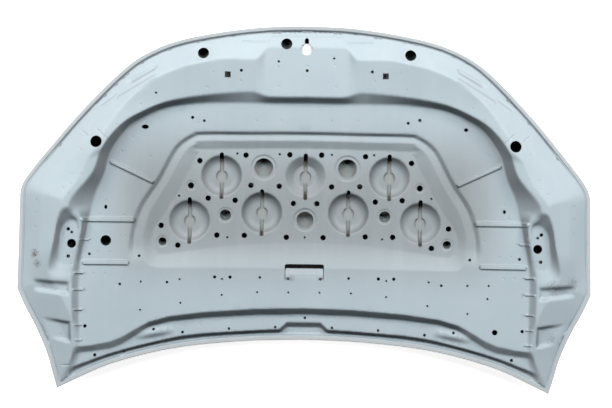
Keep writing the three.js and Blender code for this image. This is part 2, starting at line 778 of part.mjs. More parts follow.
function pocketPoints() {
  return sidePockets.flatMap((pocket) => {
    const loop = placeAll(pocket);
    const cx = loop.reduce((sum, [x]) => sum + x, 0) / loop.length;
    const cy = loop.reduce((sum, [, y]) => sum + y, 0) / loop.length;
    const floor = loop.map(([x, y]) => [x + Math.sign(cx - x) * pocketEdge, y + Math.sign(cy - y) * pocketEdge]);
    return [loop, floor].flatMap((line) => line.flatMap((corner, i) => (
      dividedLine(corner, line[(i + 1) % line.length], pocketPitch))));
  });
}

function bothSides(points) {
  return points.flatMap(([x, y]) => [[x, y], [-x, y]]);
}

function latchPadPoints() {
  const xs = [latchPadHalfWidth, latchPadHalfWidth + latchPadSide / 2, latchPadHalfWidth + latchPadSide];
  const ys = [300, 326, 352, 378, 402].map((y) => y * along);
  return xs.flatMap((x) => ys.map((y) => [x, y]));
}

function innerPanel() {
  const rings = [skinThickness + panelEdgeGap, edgeLiftEnd, edgeLiftFoot].map(insetLoop);
  const holes = panelHoles();
  const field = new PointField(rings[rings.length - 1], holes);
  field.add(conePoints(), 3.5);
  field.add(dishedHoles.flatMap(([x, y, size]) => ringPoints(...place(x, y), (size / 2) * dishShare, 16)), 4);
  field.add(facingPoints(beadBottom, [beadOuter, ridge, fieldFloor]), 4);
  field.add(facingPoints(frameFoot, [frameCrest]), 5);
  field.add([rearWallCrest, rearWallFoot, edgeWallCrest, edgeWallFoot].flatMap(wallPoints), 5);
  field.add(bothSides(ribPoints()), 3.5);
  field.add(bothSides([...facingPoints(hingeFlat, [hingeCrest]), ...pocketPoints()]), 5);
  field.add(bothSides(latchPadPoints()), 12);
  field.add([...slopeCrest(), ...shoulderPoints()], 12);
  field.add(gridPoints(panelPitch), panelPitch * 0.55);
  return sheetGeometry(rings, holes, field.points, panelTop, panelBottom);
}

// Plates and nuts under the pads of the inner panel

const latchPlateTop = latchPadLevel - panelThickness - jointGap;
const hingePlateTop = hingePadLevel - panelThickness - jointGap;
const strikerNuts = [place(-72, 380), place(72, 380), place(0, 355)];
const hingeNuts = [place(609, -62), place(608, -132)];

function latchPlateHeight(x, y) {
  const bend = share(y, 392 * along, 400 * along);
  const underSlope = panelTop(x, y) - panelThickness - mix(jointGap, keyholePlateDrop, bend);
  return bend > 0 ? Math.min(latchPlateTop, underSlope) : latchPlateTop;
}

function latchReinforcement() {
  const edge = placeAll([[-92, 312], [-84, 304], [84, 304], [92, 312], [92, 384], [84, 392], [22, 392], [22, 404],
    [22, 418], [14, 430], [-16, 430], [-24, 418], [-24, 404], [-24, 392], [-84, 392], [-92, 384]]);
  const holes = strikerNuts.map(([x, y]) => ringPoints(x, y, strikerNutBore / 2 + nutHoleRoom, 8));
  const inner = placeAll([[-60, 330], [60, 330], [-30, 372], [30, 372], [-1, 392], [-1, 404], [-1, 418]]);
  const bottom = (x, y) => latchPlateHeight(x, y) - latchPlateThickness;
  return sheetGeometry([edge], holes, inner, latchPlateHeight, bottom);
}

function hingeReinforcement(side) {
  const edge = [[599, -68], [599, -54], [602, -48], [609, -48], [619, -58], [625, -74], [628, -92], [629, -146],
    [605, -148], [605, -122], [612, -112], [615, -99], [612, -86], [605, -78]].map(([x, y]) => place(side * x, y));
  const holes = hingeNuts.map(([x, y]) => ringPoints(side * x, y, hingeNutBore / 2 + nutHoleRoom, 8));
  const top = () => hingePlateTop;
  const bottom = () => hingePlateTop - hingePlateThickness;
  return sheetGeometry([edge], holes, [], top, bottom);
}

function weldNut(width, height, bore) {
  const corners = ringPoints(0, 0, width / Math.sqrt(3), 6);
  const shape = new THREE.Shape(corners.map(([x, y]) => new THREE.Vector2(x, y)));
  const hole = new THREE.Path(ringPoints(0, 0, bore / 2, 12).map(([x, y]) => new THREE.Vector2(x, y)));
  shape.holes.push(hole);
  return new THREE.ExtrudeGeometry(shape, { depth: height, bevelEnabled: false });
}

// A dab of mastic between a cone and the skin, following the slope of the skin
function masticDab(cx, cy) {
  const sides = 12;
  const rim = ringPoints(cx, cy, dabRadius, sides);
  const top = coneClearance - jointGap;
  const positions = [cx, cy, skinBowl(cx, cy) + dabGap, cx, cy, skinBowl(cx, cy) + top];
  for (const [x, y] of rim) positions.push(x, y, skinBowl(x, y) + dabGap, x, y, skinBowl(x, y) + top);
  const index = [];
  for (let i = 0; i < sides; i += 1) {
    const a = 2 + 2 * i;
    const b = 2 + 2 * ((i + 1) % sides);
    index.push(0, b, a, 1, a + 1, b + 1, a, b, b + 1, a, b + 1, a + 1);
  }
  return trimmedGeometry(positions, index);
}

// Assembly

const bonnet = new THREE.Group();

function addPiece(name, geometry, material, position = [0, 0, 0]) {
  const mesh = new THREE.Mesh(geometry, material);
  mesh.name = name;
  mesh.position.set(...position);
  bonnet.add(mesh);
}

addPiece('outer_skin', outerSkin(), skinPrimer);
addPiece('inner_panel', innerPanel(), panelPrimer);
addPiece('latch_reinforcement', latchReinforcement(), platePrimer);

const strikerNutTop = latchPlateTop - latchPlateThickness - jointGap;
['left', 'right', 'centre'].forEach((word, i) => {
  const [x, y] = strikerNuts[i];
  const nut = weldNut(strikerNutWidth, strikerNutHeight, strikerNutBore);
  addPiece(`striker_nut_${word}`, nut, zincPlate, [x, y, strikerNutTop - strikerNutHeight]);
});

const hingeNutTop = hingePlateTop - hingePlateThickness - jointGap;
[['left', -1], ['right', 1]].forEach(([word, side]) => {
  addPiece(`hinge_reinforcement_${word}`, hingeReinforcement(side), platePrimer);
  ['front', 'rear'].forEach((end, i) => {
    const [x, y] = hingeNuts[i];
    const nut = weldNut(hingeNutWidth, hingeNutHeight, hingeNutBore);
    addPiece(`hinge_nut_${word}_${end}`, nut, zincPlate, [side * x, y, hingeNutTop - hingeNutHeight]);
  });
});

cones.forEach(([x, y], i) => {
  addPiece(`mastic_dab_${i + 1}_left`, masticDab(x - dabOffset, y), masticPaste);
  addPiece(`mastic_dab_${i + 1}_right`, masticDab(x + dabOffset, y), masticPaste);
});

export default bonnet;
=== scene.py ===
# Car bonnet, bare and primed, lying crown down with its inner side up.
# Blender works in metres. The plan of the pressings is in millimetres: X across the car,
# Y to the front edge and Z away from the crown.

import math
import bpy
import numpy as np
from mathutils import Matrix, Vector
from mathutils.geometry import delaunay_2d_cdt


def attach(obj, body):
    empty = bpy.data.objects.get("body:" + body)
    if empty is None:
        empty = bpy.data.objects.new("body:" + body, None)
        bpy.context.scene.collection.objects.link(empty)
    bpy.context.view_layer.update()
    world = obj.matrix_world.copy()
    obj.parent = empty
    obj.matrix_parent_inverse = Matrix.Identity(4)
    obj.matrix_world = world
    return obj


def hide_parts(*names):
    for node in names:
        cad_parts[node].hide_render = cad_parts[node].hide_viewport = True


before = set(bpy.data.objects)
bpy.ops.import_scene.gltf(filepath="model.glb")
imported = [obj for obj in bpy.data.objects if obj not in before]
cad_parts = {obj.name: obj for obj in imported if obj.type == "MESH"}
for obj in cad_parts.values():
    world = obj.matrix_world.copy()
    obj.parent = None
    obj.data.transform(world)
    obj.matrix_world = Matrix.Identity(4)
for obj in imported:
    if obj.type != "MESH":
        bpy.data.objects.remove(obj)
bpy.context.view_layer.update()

print("frame loaded")

photoView = {
    "place": (0.0022, 0.010, 4.0),  # metres, straight above the bonnet
    "turn": 0.75,  # degrees, how far the bonnet lies turned in the picture
    "sensor": 36.0,
    "lens": 89.6,
}

# Shape of the bonnet, the same values as in the part's source, in millimetres
bonnet = {
    "halfWidth": 738, "frontEdge": 472,
    "skinThickness": 0.7, "panelThickness": 0.65, "jointGap": 0.3,
    "crownRise": 50, "shoulderRise": 20, "lengthRadius": 5000, "noseStart": 200, "noseRise": 15,
    "edgeLift": 5, "edgeLiftEnd": 10, "edgeLiftFoot": 16,
}


def share(value, start, end):
    return np.clip((value - start) / (end - start), 0.0, 1.0)


def ease(t):
    return t * t * (3 - 2 * t)


def mix(a, b, t):
    return a + (b - a) * t


def evenPoints(line, count=0, spacing=1.0):
    run = np.concatenate([[0], np.cumsum(np.linalg.norm(np.diff(line, axis=0), axis=1))])
    stations = np.linspace(0, run[-1], count or int(run[-1] / spacing))
    return np.column_stack([np.interp(stations, run, line[:, k]) for k in (0, 1)])


def smoothLine(points, count):
    points = np.array(points, float)
    padded = np.vstack([points[:1], points, points[-1:]])
    t = np.linspace(0, 1, 40, endpoint=False)[:, None]
    curve = []
    for before, start, end, after in zip(padded, padded[1:], padded[2:], padded[3:]):
        leave, arrive = (end - before) / 2, (after - start) / 2
        cubic = 2 * start - 2 * end + leave + arrive
        square = 3 * end - 3 * start - 2 * leave - arrive
        curve.append(cubic * t**3 + square * t**2 + leave * t + start)
    return evenPoints(np.vstack([*curve, points[-1:]]), count + 1)


def mirrorLoop(half):
    half = np.array(half, float)  # right half of a loop, from the front centre to the rear centre
    left = half[half[:, 0] > 0.5][::-1] * (-1, 1)
    return np.vstack([half, left])


def isInside(loop, x, y):
    inside = np.zeros(x.shape, bool)
    for (ax, ay), (bx, by) in zip(np.roll(loop, 1, axis=0), loop):
        if ay != by:
            crossing = (ay > y) != (by > y)
            inside ^= crossing & (x < (bx - ax) * (y - ay) / (by - ay) + ax)
    return inside


def segmentDistance(x, y, start, end):
    (ax, ay), (bx, by) = start, end
    dx, dy = bx - ax, by - ay
    t = share((x - ax) * dx + (y - ay) * dy, 0, max(dx * dx + dy * dy, 1e-9))
    return np.hypot(x - ax - t * dx, y - ay - t * dy)


def loopDistance(loop, x, y):
    nearest = np.full(x.shape, 1e9)
    for start, end in zip(np.roll(loop, 1, axis=0), loop):
        nearest = np.minimum(nearest, segmentDistance(x, y, start, end))
    return nearest


def bandShare(outer, inner, x, y):
    result = np.zeros(x.shape)  # 0 outside the outer loop, 1 inside the inner one
    within = isInside(inner, x, y)
    band = isInside(outer, x, y) & ~within
    fromOuter = loopDistance(outer, x[band], y[band])
    fromInner = loopDistance(inner, x[band], y[band])
    result[band] = fromOuter / (fromOuter + fromInner)
    result[within] = 1
    return result


# Outline: front edge, side edge, rear side and rear edge of the right half
outlineLines = [
    ([[0, 472], [110, 468], [230, 452.5], [340, 428], [424, 391], [490, 340], [586, 240], [668, 140],
      [716, 76], [731, 48], [735, 26]], 69),
    ([[735, 26], [736, -60], [738, -216]], 15),
    ([[738, -216], [719, -259], [688, -318], [661, -380], [646, -430], [633, -472]], 18),
    ([[633, -472], [526, -421], [435, -392], [342, -371], [249, -358], [124, -348], [0, -344.5]], 45),
]
outline = mirrorLoop(np.vstack([smoothLine(points, count)[k > 0:]
                                for k, (points, count) in enumerate(outlineLines)]))


def insetLoop(inset):
    before = outline - np.roll(outline, 1, axis=0)
    after = np.roll(outline, -1, axis=0) - outline
    before /= np.linalg.norm(before, axis=1)[:, None]
    after /= np.linalg.norm(after, axis=1)[:, None]
    normal = np.column_stack([before[:, 1] + after[:, 1], -before[:, 0] - after[:, 0]])
    normal /= np.linalg.norm(normal, axis=1)[:, None]
    cosine = normal[:, 0] * before[:, 1] - normal[:, 1] * before[:, 0]
    return outline + normal * (inset / np.maximum(0.5, cosine))[:, None]


def skinBowl(x, y):
    u = x / bonnet["halfWidth"]
    nose = share(y, bonnet["noseStart"], bonnet["frontEdge"])
    bowl = bonnet["crownRise"] * u**2 + bonnet["shoulderRise"] * u**4 + y * y / (2 * bonnet["lengthRadius"])
    return bonnet["skinThickness"] + bowl + bonnet["noseRise"] * nose**2


def skinInner(x, y, inset):
    lift = 1 - ease(share(inset, bonnet["edgeLiftEnd"], bonnet["edgeLiftFoot"]))
    return skinBowl(x, y) + bonnet["edgeLift"] * lift


# Inner panel: heights above the skin, and the lines of its folds on the right half, front to rear
innerPanel = {
    "frontMember": 48, "sideMember": 62, "rearSide": 36, "midPanel": 32, "midFall": 8,
    "rearLedge": 14, "ledgeFall": 3, "hemBand": 1.5, "hemBandRun": 8,
    "frontSlope": 0.7, "frontCentreSlope": 0.585, "sideSlope": 0.6, "sideInnerSlope": 0.42,
    "rearSideSlope": 0.36, "sideShoulder": 57, "valleyDrop": 5, "valleyWidth": 22,
    "latchPadLevel": 60, "hingePadLevel": 79, "latchPadHalf": 100, "latchPadSide": 36,
    "beadDepth": 7.5, "ridgeDepth": 5, "fieldDepth": 13,
    "coneRim": 53.5, "coneFlat": 29, "coneClearance": 3.5,
    "keyholeRadius": 15.5, "keySlotWidth": 11, "keySlotLength": 122,
    "edgeGap": 0.9, "foldRadius": 2.6, "crispRadius": 1.6, "crispBlur": 3.0, "crispBehind": -235,
    "gridPitch": 2.0, "fallReach": 560,
}
# Where one height, slope or form gives way to the next: start and end of each change
changes = {
    "rearLevel": (-90, -176), "frontLevel": (120, 280), "rearSlope": (-110, -230), "frontSlope": (60, 200),
    "centreSlope": (230, 130), "pocketFade": (22, 60), "beadFade": (-150, -100), "formFade": (14, 20),
}
# Sealing groove inside the front hem, where the panel follows the skin down before it rises: where it
# starts and is full, then the insets, at the sides and in it, where the panel leaves the skin and is free
sealGroove = {"along": (50, 180), "leaves": (9.2, 13), "free": (14, 16.5)}
# Tongue cut out of the middle panel, its free end bent down to leave an opening
tongue = {
    "top": -147, "width": 102, "length": 29, "opening": 11, "slit": 1.6, "drop": 6, "rise": 1.5,
    "bendRun": 17, "foldRun": 4, "corner": 5, "cutShort": 2, "spacing": 5,
}
frameCrestHalf = smoothLine([
    [0, 287], [90, 286], [116, 292], [147, 299], [265, 288], [363, 268], [434, 236], [472, 211], [500, 181],
    [517, 156], [529, 132], [548, 82], [597, 22], [607, -10], [585, -40], [583, -68], [591, -114],
    [598, -170], [599, -240], [596, -352], [597, -385], [606, -430], [612, -470]], 80)
frameFootHalf = smoothLine([
    [0, 272], [90, 271], [116, 271], [147, 270.5], [265, 269], [361, 257], [420, 233], [458, 209],
    [488, 172], [509, 134], [521, 84], [543, 28], [554, -16], [562, -45], [566, -68], [575, -114],
    [581, -166], [581, -236], [578, -350], [580, -386], [588, -430], [594, -470]], 80)
behindRear = -560  # both loops close well behind the rear edge
frameCrest = mirrorLoop([*frameCrestHalf, (612, behindRear), (0, behindRear)])
frameFoot = mirrorLoop([*frameFootHalf, (594, behindRear), (0, behindRear)])
# Walls ahead of the rear ledge and of the rear edge: x, then y of the crest and of the foot
rearWall = np.array([
    [0, -261, -278], [125, -264, -281], [260, -274, -290], [350, -286, -300], [400, -300, -314],
    [440, -322, -340], [470, -340, -359], [500, -352, -371], [550, -362, -378], [600, -366, -384]])
edgeWall = np.array([
    [0, -299, -312], [44, -299, -312], [62, -317, -328], [124, -321, -330], [260, -330, -339],
    [316, -337, -346], [350, -344, -352], [416, -360, -368], [467, -373, -382], [516, -388, -397],
    [548, -400, -409], [600, -419, -429]])
wallLines = [wall[:, [0, row]] for wall in (rearWall, edgeWall) for row in (1, 2)]
beadOuter, beadBottom, ridge, fieldFloor = (mirrorLoop(smoothLine(points, 60)) for points in (
    [[0, 198], [266, 195], [290, 191], [314, 179], [332, 165], [345, 150], [360, 124], [388, 70],
     [428, 10], [446, -34], [456, -84], [457, -130], [450, -152], [430, -163], [380, -166], [190, -165],
     [0, -165]],
    [[0, 190], [264, 187], [286, 183], [307, 173], [324, 159], [336, 145], [350, 120], [378, 66],
     [417, 6], [434, -38], [444, -86], [443, -128], [437, -148], [422, -159], [380, -162], [190, -162],
     [0, -162]],
    [[0, 175], [262, 171], [280, 167], [297, 158], [311, 146], [321, 132], [334, 108], [361, 56],
     [398, -4], [414, -44], [421, -86], [418, -128], [412, -146], [400, -156], [376, -159], [190, -158],
     [0, -158]],
    [[0, 155], [262, 150], [274, 146], [283, 138], [289, 124], [294, 109], [305, 92], [332, 38],
     [365, -16], [386, -46], [397, -72], [398, -96], [388, -118], [365, -126], [289, -114], [161, -98],
     [0, -92]]))
hingeCrest = smoothLine([
    [574, -40], [583, -20], [600, -6], [618, -8], [632, -20], [641, -44], [645, -82], [652, -104],
    [657, -134], [654, -176], [620, -186], [578, -180]], 32)
hingeFlat = smoothLine([
    [583, -60], [586, -44], [594, -38], [610, -41], [622, -54], [629, -72], [631, -90], [632, -116],
    [632, -138], [628, -150], [610, -154], [596, -150]], 32)
cones = [(0, 81), (219, 81), (-219, 81), (113, -14), (-113, -14), (301, -37), (-301, -37)]
valleyLine = np.array([[500, 146], [522, 140], [556, 129], [631, 97], [740, 60]])
pockets = [
    {"loop": [[603, -198], [698, -191], [698, -221], [603, -234]], "depth": 7, "edge": 8},
    {"loop": [[598, -300], [676, -288], [652, -346], [598, -356]], "depth": 7, "edge": 8},
]

# Raised and sunken lines: x and y of the start and of the end, width, rise and width of the slope
pairedForms = [  # these repeat on the left
    (502, 112, 398, 63, 14, 4, 5), (570, -37, 447, -37, 17, 4, 5), (568, -148, 460, -148, 17, 4, 5),
    (560, -89, 576, -89, 9, 3, 4), (573, -175, 590, -175, 9, 3, 4), (573, -218, 592, -218, 8, 3, 4),
    (574, -270, 590, -270, 8, 3, 4), (574, -309, 588, -309, 7, 2.5, 3.5),
    (573, -348, 586, -348, 7, 2.5, 3.5), (452, 324, 396, 357, 18, -2.4, 8),
    (531, 261, 498, 285, 12, -1.2, 6), (483, 279, 391, 334, 14, 1.6, 7),
    (537, 196, 508, 168, 7, -1.0, 3.5), (577, 190, 563, 180, 7, -1.0, 3.5),
    (108, 429, 168, 430, 8, -1.2, 4),
]
singleForms = [(-90, 445, 90, 445, 7, -0.8, 3.5), (-621, -413, -604, -413, 6, -1.2, 3)]
lineForms = [(side * ax, ay, side * bx, by, *sizes)
             for ax, ay, bx, by, *sizes in pairedForms for side in (1, -1)]
lineForms += singleForms

# Lens-shaped step on each side of the rear ledge: the sheet swells to a crest and drops behind it
ledgeStep = {"from": (333, -326), "to": (437, -346), "height": 7, "ramp": 26, "halfWidth": 5.5, "reach": 2}

# Sunken rings round holes: x, y, outer radius, width of the slope and depth, repeated on the left
rings = [
    (109.5, 103.5, 35.5, 5, 2.0), (0, -32, 32, 5, 2.0), (208, -21, 22, 5, 1.4), (298.5, 54.5, 14.5, 4, 1.0),
    (370.5, -92, 17, 4, 1.2), (268, 397, 26, 7, 1.2),
]

# Spot-weld dents; the paired ones repeat on the left
dentShape = {"depth": 0.8, "flat": 0.6, "reach": 4.2}
pairedDents = [
    (66, 226), (488, 208), (427, 261), (477, 140), (579, 143), (574, 80), (600, 78), (603, 55), (622, 43),
    (692, 12), (693, -21), (693, -58), (516, 13), (529, -23), (469, -24), (464, -80), (534, -121),
    (504, -122), (545, -177), (516, -177), (670, -211), (635, -217), (610, -219), (627, -334),
    (601, -338),
]
singleDents = [
    (-241, 347), (-256, 308), (-171, 326), (-74, 362), (-73, 313), (2, 366), (-1, 338), (72, 371),
    (75, 313), (176, 327), (242, 348), (258, 307), (-130, 225), (133, 227), (-449, 176), (-281, 217),
    (-402, 129), (-608, 28), (-586, -59), (-599, -153), (-485, -204), (-271, -308),
]
dents = [(side * x, y) for x, y in pairedDents for side in (1, -1)] + singleDents

# Round holes: x, y and diameter; the paired ones repeat on the left
pairedHoles = [
    (539, 164, 30), (600, -99, 23), (268, 397, 29), (208, -21, 29), (298.5, 54.5, 16), (370.5, -92, 21),
    (109.5, 103.5, 49), (156, 135.5, 14.4), (41.5, 138, 14.4), (142, 57, 14.4), (68.5, 55.5, 14.4),
    (253, 22, 14.4), (183, 17.5, 14.4), (30.5, 11, 14.4), (229.5, -74, 14.4), (158, -74, 14.4),
    (48, -77.5, 14.4), (276, 119.5, 14.4), (374.5, -50.5, 14.4), (330.5, -101.5, 14.4), (609, -62, 8.5),
    (608, -132, 8.5), (600, -70, 6.5), (233, -182.5, 7.7), (193, -182.5, 7.7), (169, 353, 7),
    (295, 231, 7.5), (265, 223, 6.5), (564, -312, 9), (539, -387.5, 7.5), (389.5, -320, 6.5),
    (556, -126, 6.5), (429, -130, 6.5), (178.5, 139.5, 5), (68, 139, 5), (202, -79.5, 5),
    (329, 27.5, 5), (115.5, -182.5, 6), (356, -197.5, 6), (213.5, -187.5, 4.5), (213.5, -229, 4.5),
    (122, -221, 4.5), (40.5, -220.5, 4.5), (323.5, -189.5, 4.5), (320.5, -250.5, 4.5),
    (423.5, -196.5, 4.5), (424, -269.5, 4.5), (315, -327.5, 6.5), (194.5, -317.5, 6), (74, -312.5, 6),
    (42, -185, 7),
]
smallHole = {"under": 9, "wider": 1}  # small holes are drawn wider, so that they show in the picture
singleHoles = [
    (-515, -91, 27), (-53, 424, 29), (0, -32, 44), (1, 355, 7), (-73, 378, 5.6), (70, 388, 6),
    (494, -316, 14), (-388, 292, 5), (0, -77, 4.5), (-477, -203, 6), (478, -196, 4.5), (475, -230, 4.5),
    (3, -287, 6), (-467, -380, 6),
]
slotHoles = [  # x, y, width and height
    (-417, 205, 18, 11), (415, 207, 11, 9), (-516, -4, 8, 11), (516, -4, 8, 11),
]
squareHoles = [(204, 342, 15), (-204, 342, 15)]
squareSpacing = 4  # between two points of their edges
frontKeyhole = {"x": -1, "y": 410, "radius": 15.5, "slotWidth": 10.5, "slotTop": 440}


def sideLevel(x, y):
    rearShare = ease(share(y, *changes["rearLevel"]))
    frontShare = ease(share(y, *changes["frontLevel"]))
    ahead = np.interp(x, valleyLine[:, 0], valleyLine[:, 1]) - y
    behindValley = ease(share(ahead, -innerPanel["valleyWidth"] / 2, innerPanel["valleyWidth"] / 2))
    side = mix(innerPanel["sideMember"], innerPanel["rearSide"], rearShare)
    side = mix(side, innerPanel["frontMember"], frontShare)
    return side - innerPanel["valleyDrop"] * behindValley * np.where(x > valleyLine[0, 0], 1 - rearShare, 0)


def frameLevel(x, y):
    latchPad = innerPanel["latchPadLevel"] - bonnet["panelThickness"] - skinBowl(x, y)
    padHalf = innerPanel["latchPadHalf"]
    besidePad = np.where(y > 0, ease(share(x, padHalf, padHalf + innerPanel["latchPadSide"])), 1)
    hingePad = innerPanel["hingePadLevel"] - bonnet["panelThickness"] - skinBowl(x, y)
    return mix(mix(latchPad, sideLevel(x, y), besidePad), hingePad, bandShare(hingeCrest, hingeFlat, x, y))


def frameHeight(x, y, inset):
    rear, front = ease(share(y, *changes["rearSlope"])), ease(share(y, *changes["frontSlope"]))
    centre = ease(share(x, *changes["centreSlope"]))
    frontSlope = mix(innerPanel["frontSlope"], innerPanel["frontCentreSlope"], centre)
    slopes = [mix(mix(innerPanel[side], innerPanel["rearSideSlope"], rear), frontSlope, front)
              for side in ("sideSlope", "sideInnerSlope")]
    leaving = bonnet["edgeLift"] * ease(share(inset, bonnet["edgeLiftEnd"], bonnet["edgeLiftFoot"]))
    shoulder = innerPanel["sideShoulder"]
    rising = slopes[0] * np.clip(inset - bonnet["edgeLiftEnd"], 0, shoulder - bonnet["edgeLiftEnd"])
    rising += slopes[1] * np.maximum(0, inset - shoulder)
    height = np.minimum(frameLevel(x, y), bonnet["jointGap"] + leaving + rising)
    sink = np.zeros(x.shape)
    for pocket in pockets:
        loop = np.array(pocket["loop"], float)
        within = isInside(loop, x, y)
        sink[within] = pocket["depth"] * share(loopDistance(loop, x[within], y[within]), 0, pocket["edge"])
    sink *= share(inset, *changes["pocketFade"])  # the pockets run out towards the hem
    return np.maximum(height - sink, np.minimum(height, innerPanel["hemBand"]))


def fieldHeight(x, y, level):
    fade = ease(share(y, *changes["beadFade"]))
    toFloor = bandShare(ridge, fieldFloor, x, y)
    toRidge = bandShare(beadBottom, ridge, x, y)
    toBead = bandShare(beadOuter, beadBottom, x, y)
    bead, ridgeSink = innerPanel["beadDepth"], innerPanel["ridgeDepth"]
    sink = bead * fade * toBead
    sink = np.where(toRidge > 0, mix(bead, ridgeSink, toRidge) * fade, sink)
    sink = np.where(toFloor > 0, mix(ridgeSink * fade, innerPanel["fieldDepth"], toFloor), sink)
    return level - sink


def insideHeight(x, y, inset):
    outward = (x / innerPanel["fallReach"]) ** 2
    mid = innerPanel["midPanel"] - innerPanel["midFall"] * outward
    ledge = innerPanel["rearLedge"] - innerPanel["ledgeFall"] * outward
    walls = [np.interp(x, line[:, 0], line[:, 1]) for line in wallLines]
    height = mix(fieldHeight(x, y, mid), ledge, share(y, walls[0], walls[1]))
    height = mix(height, innerPanel["hemBand"], share(y, walls[2], walls[3]))
    foot = bonnet["edgeLiftFoot"]
    return mix(bonnet["jointGap"], height, share(inset, foot, foot + innerPanel["hemBandRun"]))


def coneHeight(x, y, height):
    for cx, cy in cones:
        away = np.hypot(x - abs(cx), y - cy)
        sunk = share(away, innerPanel["coneRim"], innerPanel["coneFlat"])
        dish = mix(height, innerPanel["coneClearance"], sunk)
        height = np.where(away < innerPanel["coneRim"], dish, height)
    return height


def softened(field, radius):
    reach = int(math.ceil(3 * radius))
    offsets = np.arange(-reach, reach + 1)
    weights = np.exp(-0.5 * (offsets / radius) ** 2)
    weights /= weights.sum()
    for axis in (0, 1):
        field = sum(weight * np.roll(field, offset, axis) for offset, weight in zip(offsets, weights))
    return field


# Clearance of the inner panel over the skin on a fine grid, its folds rounded as the press leaves them
pitch = innerPanel["gridPitch"]
gridX = np.arange(0, 760, pitch)
gridY = np.arange(-500, 500, pitch)
halfX, halfY = np.meshgrid(gridX, gridY, indexing="ij")
onPanel = isInside(outline, halfX, halfY)
px, py = halfX[onPanel], halfY[onPanel]
inset = loopDistance(outline, px, py)
inward = bandShare(frameCrest, frameFoot, px, py)
clearance = coneHeight(px, py, mix(frameHeight(px, py, inset), insideHeight(px, py, inset), inward))
clearance = np.where(inset <= bonnet["edgeLiftEnd"], bonnet["jointGap"], clearance)
halfField = np.full(halfX.shape, bonnet["jointGap"] + bonnet["edgeLift"])
halfField[onPanel] = clearance + skinInner(px, py, inset) - skinBowl(px, py)
field = np.vstack([halfField[:0:-1], halfField])
crispZone = (isInside(beadOuter, halfX, halfY) | (halfY < innerPanel["crispBehind"])).astype(float)
crispZone = softened(np.vstack([crispZone[:0:-1], crispZone]), innerPanel["crispBlur"])
soft, crisp = (softened(field, innerPanel[radius] / pitch) for radius in ("foldRadius", "crispRadius"))
field = mix(soft, crisp, crispZone)
fieldStart = (-gridX[-1], gridY[0])
print("pressing field ready")


def fieldAt(values, x, y):
    u = np.clip((x - fieldStart[0]) / pitch, 0, values.shape[0] - 1.001)
    v = np.clip((y - fieldStart[1]) / pitch, 0, values.shape[1] - 1.001)
    i, j = u.astype(int), v.astype(int)
    s, t = u - i, v - j
    low = mix(values[i, j], values[i + 1, j], s)
    high = mix(values[i, j + 1], values[i + 1, j + 1], s)
    return mix(low, high, t)


def smallForms(x, y):
    rise = np.zeros(x.shape)
    for ax, ay, bx, by, width, height, slope in lineForms:
        away = segmentDistance(x, y, (ax, ay), (bx, by))
        rise += height * (1 - ease(share(away, width / 2 - slope, width / 2)))
    (ax, ay), (bx, by) = ledgeStep["from"], ledgeStep["to"]
    length = math.hypot(bx - ax, by - ay)
    along = ((np.abs(x) - ax) * (bx - ax) + (y - ay) * (by - ay)) / length**2
    across = ((np.abs(x) - ax) * (by - ay) - (y - ay) * (bx - ax)) / length
    swell = ledgeStep["height"] * np.maximum(0, 1 - (2 * along - 1) ** 2)
    half = ledgeStep["halfWidth"]
    rise += swell * ease(share(across, -ledgeStep["ramp"], -half)) * (1 - share(across, -half, half))
    for cx, cy, radius, slope, depth in rings:
        for side in ((1,) if cx == 0 else (1, -1)):
            away = np.hypot(x - side * cx, y - cy)
            rise -= depth * (1 - ease(share(away, radius - slope, radius)))
    for cx, cy in dents:
        away = np.hypot(x - cx, y - cy)
        rise -= dentShape["depth"] * (1 - ease(share(away, dentShape["flat"], dentShape["reach"])))
    return rise


def tongueSink(x, y):
    free = tongue["top"] - tongue["opening"]
    fold = free - tongue["length"]
    half = (tongue["width"] - tongue["slit"]) / 2
    drop = tongue["drop"] * ease(share(y, free - tongue["bendRun"], free))
    arch = tongue["rise"] * ease(share(y, fold, fold + tongue["foldRun"]))
    onTongue = (np.abs(x) < half) & (y < free + tongue["opening"] / 2) & (y > fold)
    return np.where(onTongue, drop - arch, 0)


def panelTop(x, y):
    inset = loopDistance(outline, x, y)
    onSkin = skinInner(x, y, inset) + bonnet["jointGap"]
    height = fieldAt(field, x, y) + smallForms(x, y) * share(inset, *changes["formFade"]) - tongueSink(x, y)
    pressed = np.maximum(skinBowl(x, y) + height, onSkin)
    grooved = ease(share(y, *sealGroove["along"]))
    leaving = ease(share(inset, mix(*sealGroove["leaves"], grooved), mix(*sealGroove["free"], grooved)))
    return mix(onSkin, pressed, leaving) + bonnet["panelThickness"]


# Loops of the holes

def arcPoints(cx, cy, across, along, angles):
    return np.column_stack([cx + across * np.cos(angles), cy + along * np.sin(angles)])


def ringLoop(cx, cy, width, height=None):
    height = height or width
    sides = int(min(40, max(10, 1.3 * width)))  # a side to every 2.4 mm, within limits
    angles = (np.arange(sides) + 0.5) / sides * 2 * math.pi
    return arcPoints(cx, cy, width / 2, height / 2, angles)


def coneKeyhole(cx, cy):
    half, end = innerPanel["keySlotWidth"] / 2, innerPanel["keySlotLength"] / 2
    radius = innerPanel["keyholeRadius"]
    tip = arcPoints(0, end - half, half, half, np.radians([80, 60, 40, 20, 0]))
    side = [(half, y) for y in range(49, 18, -5)]
    arc = arcPoints(0, 0, radius, radius, math.acos(half / radius) * np.linspace(1, 0, 9))
    quarter = np.vstack([tip, side, arc])
    right = np.vstack([quarter, quarter[-2::-1] * (1, -1)])
    return np.vstack([(0, end), right, (0, -end), right[::-1] * (-1, 1)]) + (cx, cy)


